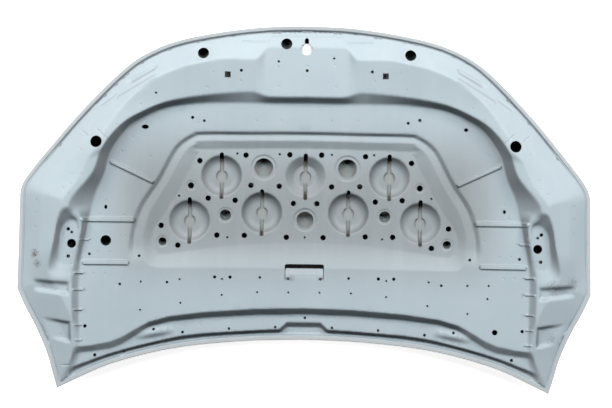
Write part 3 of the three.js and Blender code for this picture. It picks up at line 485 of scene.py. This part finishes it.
def frontKeyholeLoop():
    radius, half = frontKeyhole["radius"], frontKeyhole["slotWidth"] / 2
    top = frontKeyhole["slotTop"] - frontKeyhole["y"]
    start = math.acos(half / radius)
    tip = arcPoints(0, top - half, half, half, np.radians([180, 150, 120, 90, 60, 30, 0]))
    arc = arcPoints(0, 0, radius, radius, start - np.linspace(0, 1, 31) * (math.pi + 2 * start))
    return np.vstack([tip, arc]) + (frontKeyhole["x"], frontKeyhole["y"])


def dividedLoop(corners, spacing):
    points = []
    for start, end in zip(corners, np.roll(corners, -1, axis=0)):
        steps = max(1, round(float(np.linalg.norm(end - start)) / spacing))
        points.extend(mix(start, end, k / steps) for k in range(steps))
    return np.array(points)


def tongueLoop():
    half = tongue["width"] / 2
    top, slit, corner = tongue["top"], tongue["slit"], tongue["corner"]
    free = top - tongue["opening"]
    cutEnd = free - tongue["length"] + tongue["cutShort"]
    far, near = 0.44 * corner, 0.16 * corner  # two points of the rounded corner
    right = [(half - corner, top), (half - far, top - near), (half - near, top - far), (half, top - corner),
             (half, cutEnd), (half - slit, cutEnd), (half - slit, free)]
    return dividedLoop(np.array([*right, *[(-x, y) for x, y in right[::-1]]], float), tongue["spacing"])


roundHoles = [(side * x, y, size) for x, y, size in pairedHoles for side in (1, -1)] + singleHoles
holeLoops = [ringLoop(x, y, size + (smallHole["wider"] if size < smallHole["under"] else 0))
             for x, y, size in roundHoles]
holeLoops += [ringLoop(x, y, width, height) for x, y, width, height in slotHoles]
holeLoops += [dividedLoop(np.array([(x - h, y - h), (x + h, y - h), (x + h, y + h), (x - h, y + h)]),
                          squareSpacing)
              for x, y, h in ((x, y, size / 2) for x, y, size in squareHoles)]
holeLoops += [coneKeyhole(x, y) for x, y in cones] + [frontKeyholeLoop(), tongueLoop()]


# Sheets: a plan of triangles with its holes, the upper face at a height, the lower face one gauge below

def inLoopBox(loop, x, y, reach):
    low, high = loop.min(axis=0) - reach, loop.max(axis=0) + reach
    return (x > low[0]) & (x < high[0]) & (y > low[1]) & (y < high[1])


def isFree(points, holes, clear):
    free = np.ones(len(points), bool)
    for hole in holes:
        near = np.flatnonzero(inLoopBox(hole, points[:, 0], points[:, 1], clear) & free)
        x, y = points[near].T
        free[near] = ~isInside(hole, x, y) & (loopDistance(hole, x, y) > clear)
    return free


def sheetPlan(edge, holes, inner):
    loops = [edge, *holes]
    points = np.vstack([*loops, inner])
    edges, start = [], 0
    for loop in loops:
        edges += [(start + k, start + (k + 1) % len(loop)) for k in range(len(loop))]
        start += len(loop)
    plan, _, faces, *_ = delaunay_2d_cdt([Vector(p) for p in points], edges, [], 0, 1e-4)
    plan = np.array([tuple(p) for p in plan])
    faces = np.array(faces)
    cx, cy = plan[faces].mean(axis=1).T
    keep = isInside(edge, cx, cy)
    for hole in holes:
        near = np.flatnonzero(inLoopBox(hole, cx, cy, 0) & keep)
        keep[near] = ~isInside(hole, cx[near], cy[near])
    faces = faces[keep]
    a, b, c = (plan[faces[:, k]] for k in range(3))
    turn = (b[:, 0] - a[:, 0]) * (c[:, 1] - a[:, 1]) - (b[:, 1] - a[:, 1]) * (c[:, 0] - a[:, 0])
    faces[turn < 0] = faces[turn < 0][:, ::-1]
    faces = faces[np.abs(turn) > 1e-6]
    used, renumbered = np.unique(faces, return_inverse=True)
    return plan[used], renumbered.reshape(-1, 3)


def slopesAt(heightAt, x, y):
    step = 0.7
    slopeX = (heightAt(x + step, y) - heightAt(x - step, y)) / (2 * step)
    slopeY = (heightAt(x, y + step) - heightAt(x, y - step)) / (2 * step)
    normal = np.column_stack([-slopeX, -slopeY, np.ones(len(x))])
    return normal / np.linalg.norm(normal, axis=1)[:, None]


def newObject(name, data):
    thing = bpy.data.objects.new(name, data)
    bpy.context.scene.collection.objects.link(thing)
    return thing


def meshPiece(name, vertices, faces, normals=None):
    mesh = bpy.data.meshes.new(name)
    mesh.from_pydata((vertices * 0.001).tolist(), [], [list(face) for face in faces])
    mesh.shade_smooth()
    if normals is not None:
        mesh.normals_split_custom_set(normals.tolist())
    return newObject(name, mesh)


def sheetPiece(name, plan, faces, heightAt, thickness):
    x, y = plan.T
    normal = slopesAt(heightAt, x, y)
    upper = np.column_stack([x, y, heightAt(x, y)])
    lower = upper - normal * thickness
    count = len(plan)
    sides = np.vstack([faces[:, [0, 1]], faces[:, [1, 2]], faces[:, [2, 0]]])
    start, end = sides.T
    isOpen = ~np.isin(start * count + end, end * count + start)  # no triangle on the other side
    start, end = start[isOpen], end[isOpen]
    walls = np.column_stack([start, start + count, end + count, end])
    along = plan[end] - plan[start]
    outward = np.column_stack([along[:, 1], -along[:, 0], np.zeros(len(along))])
    outward /= np.linalg.norm(outward, axis=1)[:, None]
    normals = np.vstack([normal[faces].reshape(-1, 3), -normal[faces[:, ::-1]].reshape(-1, 3),
                         np.repeat(outward, 4, axis=0)])
    allFaces = [*faces.tolist(), *(faces[:, ::-1] + count).tolist(), *walls.tolist()]
    return meshPiece(name, np.vstack([upper, lower]), allFaces, normals)


# Points of the inner panel: rings along its edge, then a grid that is finer where the sheet bends
planPoints = {
    "gridInset": 19.5, "holeClear": 1.6, "leastGap": 2.2, "rowStep": 5.0, "fineStep": 4.0,
    "wideReach": 4, "closeReach": 2.5, "formReach": 2.6, "formSteps": 7, "formEnd": 0.35, "ringOutside": 3,
    "edgeRings": (5, 9, 11, 13, 15, 17, 18.5), "grooveRings": (21, 24),
    "dentRings": ((4.5, 8), (9, 10)),  # width and number of points
}


def gridPoints(spacing):
    xs = np.arange(-740, 741, spacing)
    ys = np.arange(-480, 481, spacing)
    x, y = np.meshgrid(xs, ys)
    return np.column_stack([x.ravel(), y.ravel()])


def rowsAlong(line, reach, spacing):
    middle = evenPoints(line, spacing=spacing)
    along = np.gradient(middle, axis=0)
    normal = np.column_stack([-along[:, 1], along[:, 0]]) / np.linalg.norm(along, axis=1)[:, None]
    return np.vstack([middle + normal * offset for offset in (-reach, 0, reach)])


bendX, bendY = np.gradient(field, pitch)
bendXX, bendXY = np.gradient(bendX, pitch)
bendYY = np.gradient(bendY, pitch, axis=1)
bend = softened(np.sqrt(bendXX**2 + 2 * bendXY**2 + bendYY**2), 1.0)

gridLevels = [(18.0, 0.0), (9.0, 0.0022), (4.5, 0.009)]  # spacing, and the bend above which it is used
grids = [(gridPoints(spacing), least) for spacing, least in gridLevels]
candidates = np.vstack([grid[fieldAt(bend, *grid.T) >= least] for grid, least in grids])
candidates = np.unique(np.round(candidates, 3), axis=0)
candidates = candidates[isInside(outline, *candidates.T)]
candidates = candidates[loopDistance(outline, *candidates.T) > planPoints["gridInset"]]


def formRows(ax, ay, bx, by, width, *_):
    start, end = np.array([(ax, ay), (bx, by)], float)
    length = np.linalg.norm(end - start)
    run = (end - start) / length
    normal = np.array([-run[1], run[0]])
    steps = np.linspace(0, 1, 2 + int(length / planPoints["fineStep"]))
    past = run * width * planPoints["formEnd"]
    stations = [*(mix(start, end, t) for t in steps), start - past, end + past]
    outside = width / 2 + planPoints["formReach"]
    offsets = (-outside, *np.linspace(-0.5, 0.5, planPoints["formSteps"]) * width, outside)
    return np.array([at + normal * offset for at in stations for offset in offsets])


def bothSides(points):
    return [points, points * (-1, 1)]


formPoints = []
for cx, cy in dents:
    formPoints += [np.array([(cx, cy)])]
    formPoints += [ringLoop(cx, cy, width)[:count] for width, count in planPoints["dentRings"]]
for form in pairedForms:
    formPoints += bothSides(formRows(*form))
formPoints += [formRows(*form) for form in singleForms]
closeReach = planPoints["closeReach"]
for cx, cy, radius, slope, _ in rings:
    foot = radius - slope
    for reach in (radius + planPoints["ringOutside"], radius, radius - slope / 2, foot, foot - closeReach):
        loop = ringLoop(cx, cy, 2 * reach)
        formPoints += [loop] if cx == 0 else bothSides(loop)
for line in (frameCrestHalf, frameFootHalf):
    formPoints += bothSides(rowsAlong(line, planPoints["wideReach"], planPoints["rowStep"]))
for line in (*wallLines, beadOuter, beadBottom, ridge, fieldFloor):
    formPoints += bothSides(rowsAlong(line, closeReach, planPoints["rowStep"]))
stepCrest = np.array([ledgeStep["from"], ledgeStep["to"]], float)
for reach in (ledgeStep["reach"], ledgeStep["halfWidth"]):
    formPoints += bothSides(rowsAlong(stepCrest, reach, planPoints["fineStep"]))
for cx, cy in cones:
    for radius in (innerPanel["coneRim"], innerPanel["coneFlat"]):
        turns = np.linspace(0, 2 * math.pi, int(2 * math.pi * radius / planPoints["rowStep"]))
        circle = arcPoints(cx, cy, radius, radius, turns)
        formPoints += [rowsAlong(circle, closeReach, planPoints["rowStep"])]
formPoints = np.vstack(formPoints)
cell = planPoints["leastGap"]
_, kept = np.unique(np.round(formPoints / cell).astype(int), axis=0, return_index=True)
formPoints = formPoints[np.sort(kept)]
formCells = {tuple(c) for c in np.round(formPoints / (2 * cell)).astype(int)}
away = np.array([tuple(c) not in formCells for c in np.round(candidates / (2 * cell)).astype(int)])
inner = np.vstack([formPoints, candidates[away]])
inner = inner[isFree(inner, holeLoops, planPoints["holeClear"])]
inner = inner[isInside(insetLoop(planPoints["gridInset"]), *inner.T)]
edgeRings = [insetLoop(reach) for reach in planPoints["edgeRings"]]
besideGroove = (insetLoop(reach) for reach in planPoints["grooveRings"])
edgeRings += [ring[ring[:, 1] > sealGroove["along"][0]] for ring in besideGroove]
panelEdge = insetLoop(bonnet["skinThickness"] + innerPanel["edgeGap"])
plan, faces = sheetPlan(panelEdge, holeLoops, np.vstack([*edgeRings, inner]))
panelPiece = sheetPiece("inner_panel_pressing", plan, faces, panelTop, bonnet["panelThickness"])
print("inner panel", len(plan), "points,", 2 * len(faces), "triangles")

# Outer skin: the bowl, its edge folded back round the inner panel
outerSkin = {
    "hemWidth": 9, "pitch": 18, "turnSteps": 8, "planInset": 20, "liftRows": (14, 12), "flatInset": 5,
    "planClear": 6, "sharpAngle": 40,
}


def skinPiece():
    gauge = bonnet["skinThickness"]
    under = 2 * bonnet["jointGap"] + bonnet["panelThickness"]
    outerRadius, innerRadius = (under + 2 * gauge) / 2, under / 2
    middle = under / 2
    flat, hem = outerSkin["flatInset"], outerSkin["hemWidth"]
    rows = [outerSkin["planInset"], bonnet["edgeLiftFoot"], *outerSkin["liftRows"], bonnet["edgeLiftEnd"],
            flat]
    turns = [(math.cos(math.radians(t)), math.sin(math.radians(t)))
             for t in np.linspace(-90, 90, outerSkin["turnSteps"] + 1)]
    # Section of the edge, as inset and rise: out along the outside, round the fold and back inside
    profile = [(reach, -gauge) for reach in rows]
    profile += [(outerRadius * (1 - cosine), middle + outerRadius * sine) for cosine, sine in turns]
    profile += [(flat, under + gauge), (hem, under + gauge), (hem, under), (flat, under)]
    profile += [(outerRadius - innerRadius * cosine, middle + innerRadius * sine)
                for cosine, sine in turns[::-1]]
    profile += [(reach, 0) for reach in rows[::-1]]
    stations = len(outline)
    vertices, faces = [], []
    for reach, rise in profile:
        x, y = insetLoop(reach).T
        vertices.append(np.column_stack([x, y, skinInner(x, y, np.full(stations, float(reach))) + rise]))
    for ring in range(len(profile) - 1):
        outerStart, innerStart = ring * stations, (ring + 1) * stations
        for k in range(stations):
            nextOne = (k + 1) % stations
            faces.append((outerStart + k, innerStart + k, innerStart + nextOne, outerStart + nextOne))
    edge = insetLoop(outerSkin["planInset"])
    bowlGrid = gridPoints(outerSkin["pitch"])
    bowlGrid = bowlGrid[isInside(edge, *bowlGrid.T)]
    bowlGrid = bowlGrid[loopDistance(edge, *bowlGrid.T) > outerSkin["planClear"]]
    bowlPlan, bowlFaces = sheetPlan(edge, [], bowlGrid)
    count = sum(len(v) for v in vertices)
    order = {tuple(np.round(p, 3)): k for k, p in enumerate(edge)}
    lastRing = (len(profile) - 1) * stations
    below, above, extra = [], [], []
    hemFaces = len(faces)
    for point in bowlPlan:
        onEdge = order.get(tuple(np.round(point, 3)))
        if onEdge is None:
            below.append(count + len(extra))
            above.append(count + len(extra) + 1)
            z = float(skinBowl(*point))
            extra += [(*point, z - gauge), (*point, z)]
        else:
            below.append(onEdge)
            above.append(lastRing + onEdge)
    for a, b, c in bowlFaces:
        faces += [(above[a], above[b], above[c]), (below[a], below[c], below[b])]
    piece = meshPiece("outer_skin_pressing", np.vstack([*vertices, np.array(extra)]), faces)
    piece.data.set_sharp_from_angle(angle=math.radians(outerSkin["sharpAngle"]))
    # Painted shade: the skin's upper faces, inside the cavity, get the darker cavity primer
    for face in list(piece.data.polygons)[hemFaces::2]:  # the upper faces
        face.material_index = 1
    return piece


skin = skinPiece()
print("outer skin", len(skin.data.polygons), "faces")

# Latch reinforcement, seen through the keyhole in the front member
latchPlate = {
    "thickness": 1.2, "bendStart": 392, "bendEnd": 400, "keyholeDrop": 3, "nutHole": 8.5, "pitch": 5.0,
    "edgeClear": 2, "holeClear": 1.5,
    "edge": [[-92, 312], [-84, 304], [84, 304], [92, 312], [92, 384], [84, 392], [22, 392], [22, 404],
             [22, 416], [14, 425], [-16, 425], [-24, 416], [-24, 404], [-24, 392], [-84, 392], [-92, 384]],
    "nuts": [(-73, 379), (70.5, 385.5), (0.5, 355)],
}


def latchPlateTop(x, y):
    flat = innerPanel["latchPadLevel"] - bonnet["panelThickness"] - bonnet["jointGap"]
    bent = share(y, latchPlate["bendStart"], latchPlate["bendEnd"])
    drop = mix(bonnet["jointGap"], latchPlate["keyholeDrop"], bent)
    underPanel = panelTop(x, y) - bonnet["panelThickness"] - drop
    return np.where(bent > 0, np.minimum(flat, underPanel), flat)


plateEdge = dividedLoop(np.array(latchPlate["edge"], float), latchPlate["pitch"])
plateHoles = [ringLoop(x, y, latchPlate["nutHole"]) for x, y in latchPlate["nuts"]]
plateGrid = gridPoints(latchPlate["pitch"])
plateGrid = plateGrid[isInside(plateEdge, *plateGrid.T)]
plateGrid = plateGrid[loopDistance(plateEdge, *plateGrid.T) > latchPlate["edgeClear"]]
plateGrid = plateGrid[isFree(plateGrid, plateHoles, latchPlate["holeClear"])]
platePlan, plateFaces = sheetPlan(plateEdge, plateHoles, plateGrid)
plate = sheetPiece("latch_reinforcement_plate", platePlan, plateFaces, latchPlateTop,
                   latchPlate["thickness"])
print("latch reinforcement ready")


# Materials

def linear(code):
    parts = [int(code[k:k + 2], 16) / 255 for k in (1, 3, 5)]
    return (*[p / 12.92 if p <= 0.04045 else ((p + 0.055) / 1.055) ** 2.4 for p in parts], 1.0)


def addNode(tree, kind, settings=None, links=None):
    node = tree.nodes.new("ShaderNode" + kind)
    for name, value in (settings or {}).items():
        if isinstance(name, int) or name in node.inputs:
            node.inputs[name].default_value = value
        else:
            setattr(node, name, value)
    for name, source in (links or {}).items():
        tree.links.new(source, node.inputs[name])
    return node


def startMaterial(name):
    material = bpy.data.materials.new(name)
    material.use_nodes = True
    tree = material.node_tree
    tree.nodes.clear()
    return material, tree, addNode(tree, "TexCoord")


def finishMaterial(tree, settings, links):
    shader = addNode(tree, "BsdfPrincipled", settings, links)
    addNode(tree, "OutputMaterial", {}, {"Surface": shader.outputs["BSDF"]})


# Cathodic electrocoat primer on drawn steel sheet, dipped and stoved: a thin, even, eggshell film.
# To the eye: pale blue grey, faintly cloudy, with a soft sheen, fine orange peel and scuffs from handling.
# Its colour is painted darker and greyer over the middle of the panel, as painted shade.
primerFinish = {
    "low": "#869094", "high": "#929D9F", "middleShade": "#6D706F", "scuff": "#4A4744", "dust": "#9C9D9C",
    "steepShade": "#BFBCBC",
    "middleShadeX": (0.40, 0.56), "middleShadeY": (0.04, 0.26), "middleShadeShare": 0.75,  # metres from the middle
    "cloudSize": 0.16, "grainSize": 0.0045, "streakSize": 0.03, "streakStretch": 0.12, "streakShare": 0.10,
    "scuffScale": 180.0, "roughness": 0.58,
}


def primerMaterial(name, finish, scuffs):
    material, tree, surface = startMaterial(name)
    place = surface.outputs["Object"]
    rgb = {"data_type": "RGBA"}
    falling = {"interpolation_type": "SMOOTHSTEP", "To Min": 1.0, "To Max": 0.0}
    # Clouds of slightly thicker film, about 160 mm across
    cloud = addNode(tree, "TexNoise", {"Scale": 1 / finish["cloudSize"], "Detail": 4.0, "Roughness": 0.55},
                    {"Vector": place})
    tone = addNode(tree, "Mix", {**rgb, 6: linear(finish["low"]), 7: linear(finish["high"])},
                   {0: cloud.outputs["Fac"]})
    # Painted shade: the tone is mixed towards a darker grey over the middle of the panel
    axes = addNode(tree, "SeparateXYZ", {}, {"Vector": place})
    middle = []
    for axis, (near, far) in (("X", finish["middleShadeX"]), ("Y", finish["middleShadeY"])):
        offset = addNode(tree, "Math", {"operation": "ABSOLUTE"}, {0: axes.outputs[axis]})
        middle.append(addNode(tree, "MapRange", {**falling, "From Min": near, "From Max": far},
                              {"Value": offset.outputs["Value"]}))
    middleShadeMask = addNode(tree, "Math", {"operation": "MULTIPLY"},
                   {k: side.outputs["Result"] for k, side in enumerate(middle)})
    middleShadeShare = addNode(tree, "Math", {"operation": "MULTIPLY", 1: finish["middleShadeShare"]},
                        {0: middleShadeMask.outputs["Value"]})
    tone = addNode(tree, "Mix", {**rgb, 7: linear(finish["middleShade"])},
                   {0: middleShadeShare.outputs["Value"], 6: tone.outputs[2]})
    # Painted shade: slopes and walls are painted darker than the flat faces
    facing = addNode(tree, "SeparateXYZ", {}, {"Vector": surface.outputs["Normal"]})
    steepShadeShare = addNode(tree, "MapRange", {**falling, "From Min": 0.6, "From Max": 1.0},
                         {"Value": facing.outputs["Z"]})
    tone = addNode(tree, "Mix", {**rgb, "blend_type": "MULTIPLY", 7: linear(finish["steepShade"])},
                   {0: steepShadeShare.outputs["Result"], 6: tone.outputs[2]})
    # Run marks from the dip tank, drawn out along the car
    stretch = addNode(tree, "Mapping", {"Scale": (1.0, finish["streakStretch"], 1.0)}, {"Vector": place})
    streak = addNode(tree, "TexNoise", {"Scale": 1 / finish["streakSize"], "Detail": 3.0},
                     {"Vector": stretch.outputs["Vector"]})
    streakShare = addNode(tree, "MapRange",
                          {"From Min": 0.45, "From Max": 0.75, "To Max": finish["streakShare"]},
                          {"Value": streak.outputs["Fac"]})
    dusty = addNode(tree, "Mix", {**rgb, 7: linear(finish["dust"])},
                    {0: streakShare.outputs["Result"], 6: tone.outputs[2]})
    colour = dusty.outputs[2]
    # Scuffs where the panel was gripped: a soft patch at each place, broken up by noise
    breakUp = addNode(tree, "TexNoise", {"Scale": finish["scuffScale"], "Detail": 6.0, "Roughness": 0.7},
                      {"Vector": place})
    for x, y, z, radius, strength in scuffs:
        gap = addNode(tree, "VectorMath", {"operation": "DISTANCE", 1: (x, y, z)}, {0: place})
        near = addNode(tree, "MapRange", {"From Min": radius, "From Max": 0.0},
                       {"Value": gap.outputs["Value"]})
        worn = addNode(tree, "Math", {"operation": "MULTIPLY"},
                       {0: near.outputs["Result"], 1: breakUp.outputs["Fac"]})
        patch = addNode(tree, "MapRange", {"From Min": 0.3, "From Max": 0.5, "To Max": strength},
                        {"Value": worn.outputs["Value"]})
        colour = addNode(tree, "Mix", {**rgb, 7: linear(finish["scuff"])},
                         {0: patch.outputs["Result"], 6: colour}).outputs[2]
    rough = addNode(tree, "MapRange", {"From Min": 0.3, "From Max": 0.7,
                                       "To Min": finish["roughness"] - 0.05,
                                       "To Max": finish["roughness"] + 0.07},
                    {"Value": cloud.outputs["Fac"]})
    # Orange peel is about 1 mm across; drawn at 4.5 mm so that it shows at all
    peel = addNode(tree, "TexNoise", {"Scale": 1 / finish["grainSize"], "Detail": 2.0}, {"Vector": place})
    bump = addNode(tree, "Bump", {"Strength": 0.25, "Distance": 0.0002}, {"Height": peel.outputs["Fac"]})
    finishMaterial(tree, {"IOR": 1.5, "Metallic": 0.0, "Specular IOR Level": 0.15},
                   {"Base Color": colour, "Roughness": rough.outputs["Result"],
                    "Normal": bump.outputs["Normal"]})
    return material


panelScuffs = [  # place and radius in metres, and strength
    (-0.693, -0.125, 0.088, 0.035, 0.8), (-0.685, -0.151, 0.087, 0.032, 0.7),
    (0.640, -0.196, 0.082, 0.055, 0.5), (0.690, -0.185, 0.085, 0.045, 0.4),
    (0.640, -0.330, 0.080, 0.05, 0.3),
]
# The same primer on the other sheets: even and plainer grey on the rolled skin, paler on the thick plate.
# The skin's inner face in the cavity is painted darker, as painted shade between the sheets. The hinge
# plates keep a dark, zinc-rich primer, brushed on before they are spot-welded.
skinFinish = {**primerFinish, "low": "#8F9393", "high": "#9B9F9F", "dust": "#A6A8A8", "middleShadeShare": 0.0}
cavityShadeFinish = {**skinFinish, "low": "#757976", "high": "#7E827F", "dust": "#868A87"}
plateFinish = {**skinFinish, "low": "#AAADAD", "high": "#B4B7B7", "dust": "#BCBFBF"}
weldFinish = {**skinFinish, "low": "#2E3133", "high": "#393C3E", "dust": "#434547"}
panelPrimer = primerMaterial("electrocoat_primer_on_drawn_steel", primerFinish, panelScuffs)
skinPrimer = primerMaterial("electrocoat_primer_on_rolled_steel", skinFinish, [])
cavityShadePrimer = primerMaterial("electrocoat_with_painted_cavity_shade", cavityShadeFinish, [])
platePrimer = primerMaterial("electrocoat_primer_on_thick_plate", plateFinish, [])
weldPrimer = primerMaterial("zinc_rich_weld_through_primer", weldFinish, [])


# Zinc plate, barrel-plated on cold-headed steel nuts and dulled in the oven: dark grey, with a cloudy
# grain that breaks up the shine
zincFinish = {"dark": "#3A3C3E", "pale": "#585B5D", "grainSize": 0.0015, "roughness": 0.38}


def zincMaterial():
    material, tree, surface = startMaterial("barrel_plated_zinc")
    grain = addNode(tree, "TexNoise", {"Scale": 1 / zincFinish["grainSize"], "Detail": 5.0},
                    {"Vector": surface.outputs["Object"]})
    tone = addNode(tree, "Mix", {"data_type": "RGBA", 6: linear(zincFinish["dark"]),
                                 7: linear(zincFinish["pale"])}, {0: grain.outputs["Fac"]})
    rough = addNode(tree, "MapRange", {"To Min": zincFinish["roughness"] - 0.08,
                                       "To Max": zincFinish["roughness"] + 0.12},
                    {"Value": grain.outputs["Fac"]})
    bump = addNode(tree, "Bump", {"Strength": 0.3, "Distance": 0.0001}, {"Height": grain.outputs["Fac"]})
    finishMaterial(tree, {"Metallic": 1.0},
                   {"Base Color": tone.outputs[2], "Roughness": rough.outputs["Result"],
                    "Normal": bump.outputs["Normal"]})
    return material


# Expanding mastic, pumped on as dabs and cured in the oven: dull charcoal, with a pitted skin
masticFinish = {"dark": "#343433", "pale": "#4E4E4B", "pitSize": 0.0018, "roughness": 0.85}


def masticMaterial():
    material, tree, surface = startMaterial("cured_expanding_mastic")
    pits = addNode(tree, "TexVoronoi", {"Scale": 1 / masticFinish["pitSize"]},
                   {"Vector": surface.outputs["Object"]})
    tone = addNode(tree, "Mix", {"data_type": "RGBA", 6: linear(masticFinish["dark"]),
                                 7: linear(masticFinish["pale"])}, {0: pits.outputs["Distance"]})
    bump = addNode(tree, "Bump", {"Strength": 0.5, "Distance": 0.0004}, {"Height": pits.outputs["Distance"]})
    finishMaterial(tree, {"Roughness": masticFinish["roughness"], "IOR": 1.5},
                   {"Base Color": tone.outputs[2], "Normal": bump.outputs["Normal"]})
    return material


zincPlate = zincMaterial()
mastic = masticMaterial()

for piece, node, slotName, material in (
        (panelPiece, "inner_panel", "panel_primer", panelPrimer),
        (skin, "outer_skin", "skin_primer", skinPrimer),
        (plate, "latch_reinforcement", "plate_primer", platePrimer)):
    piece.data.materials.append(material)
    # the skin's second slot holds the primer painted darker as cavity shade
    if piece == skin:
        piece.data.materials.append(cavityShadePrimer)
    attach(piece, "root")
    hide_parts(node)

nodeMaterials = {"nut": zincPlate, "mastic": mastic, "hinge_reinforcement": weldPrimer}
for name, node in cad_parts.items():
    for part, material in nodeMaterials.items():
        if part in name:
            for materialSlot in node.material_slots:
                materialSlot.material = material
print("materials ready")

# Floor, light and camera
studio = {
    "floorSize": 12.0, "floorColour": "#F8F8F8", "floorGrain": 0.02, "floorGlow": 0.8,
    "sky": "#C9DDF2", "skyStrength": 0.01, "softboxSize": 1.0,
    "lights": [  # name, place, watts and colour
        ("front_softbox", (0.0, 2.8, 2.8), 75, "#FFE3DA"),
        ("left_high_softbox", (-2.0, 2.0, 2.8), 100, "#DDF1FF"),
        ("right_high_softbox", (2.0, 2.0, 2.8), 100, "#DDF1FF"),
        ("left_low_softbox", (-2.4, 2.6, 2.0), 121, "#FFFBFA"),
        ("right_low_softbox", (2.4, 2.6, 2.0), 116, "#FFFBFA"),
        ("left_side_softbox", (-3.2, 0.2, 2.4), 18, "#FFF4EE"),
        ("right_side_softbox", (3.2, 0.2, 2.4), 18, "#FFF4EE"),
    ],
}


def floorPiece():
    half = studio["floorSize"] / 2
    corners = np.array([(-half, -half, 0), (half, -half, 0), (half, half, 0), (-half, half, 0)]) * 1000
    floor = meshPiece("studio_floor", corners, [(0, 1, 2, 3)])
    floor.location.z = -0.0005
    # Matt emulsion paint, put on with a roller: white, with a faint stipple
    material, tree, surface = startMaterial("painted_studio_floor")
    roll = addNode(tree, "TexNoise", {"Scale": 1 / studio["floorGrain"], "Detail": 3.0},
                   {"Vector": surface.outputs["Object"]})
    bump = addNode(tree, "Bump", {"Strength": 0.05, "Distance": 0.0005}, {"Height": roll.outputs["Fac"]})
    finishMaterial(tree, {"Base Color": linear(studio["floorColour"]), "Roughness": 0.9,
                          "Emission Color": (1, 1, 1, 1), "Emission Strength": studio["floorGlow"]},
                   {"Normal": bump.outputs["Normal"]})
    floor.data.materials.append(material)
    return floor


floorPiece()

world = bpy.data.worlds.new("studio")
bpy.context.scene.world = world
world.use_nodes = True
background = world.node_tree.nodes["Background"]
background.inputs["Color"].default_value = linear(studio["sky"])
background.inputs["Strength"].default_value = studio["skyStrength"]

for name, lampPlace, power, colour in studio["lights"]:
    lampData = bpy.data.lights.new(name, "AREA")
    lampData.shape = "DISK"
    lampData.size = studio["softboxSize"]
    lampData.energy = power
    lampData.color = linear(colour)[:3]
    lamp = newObject(name, lampData)
    lamp.location = lampPlace
    lamp.rotation_mode = "QUATERNION"
    lamp.rotation_quaternion = Vector(lampPlace).to_track_quat("Z", "Y")  # all aim at the origin

cameraData = bpy.data.cameras.new("photo_camera")
cameraData.sensor_width = photoView["sensor"]
cameraData.lens = photoView["lens"]
camera = newObject("photo_camera", cameraData)
camera.location = photoView["place"]
camera.rotation_euler = (0, 0, math.radians(photoView["turn"]))
bpy.context.scene.camera = camera
bpy.context.scene.view_settings.view_transform = "Standard"
print("floor, light and camera ready")
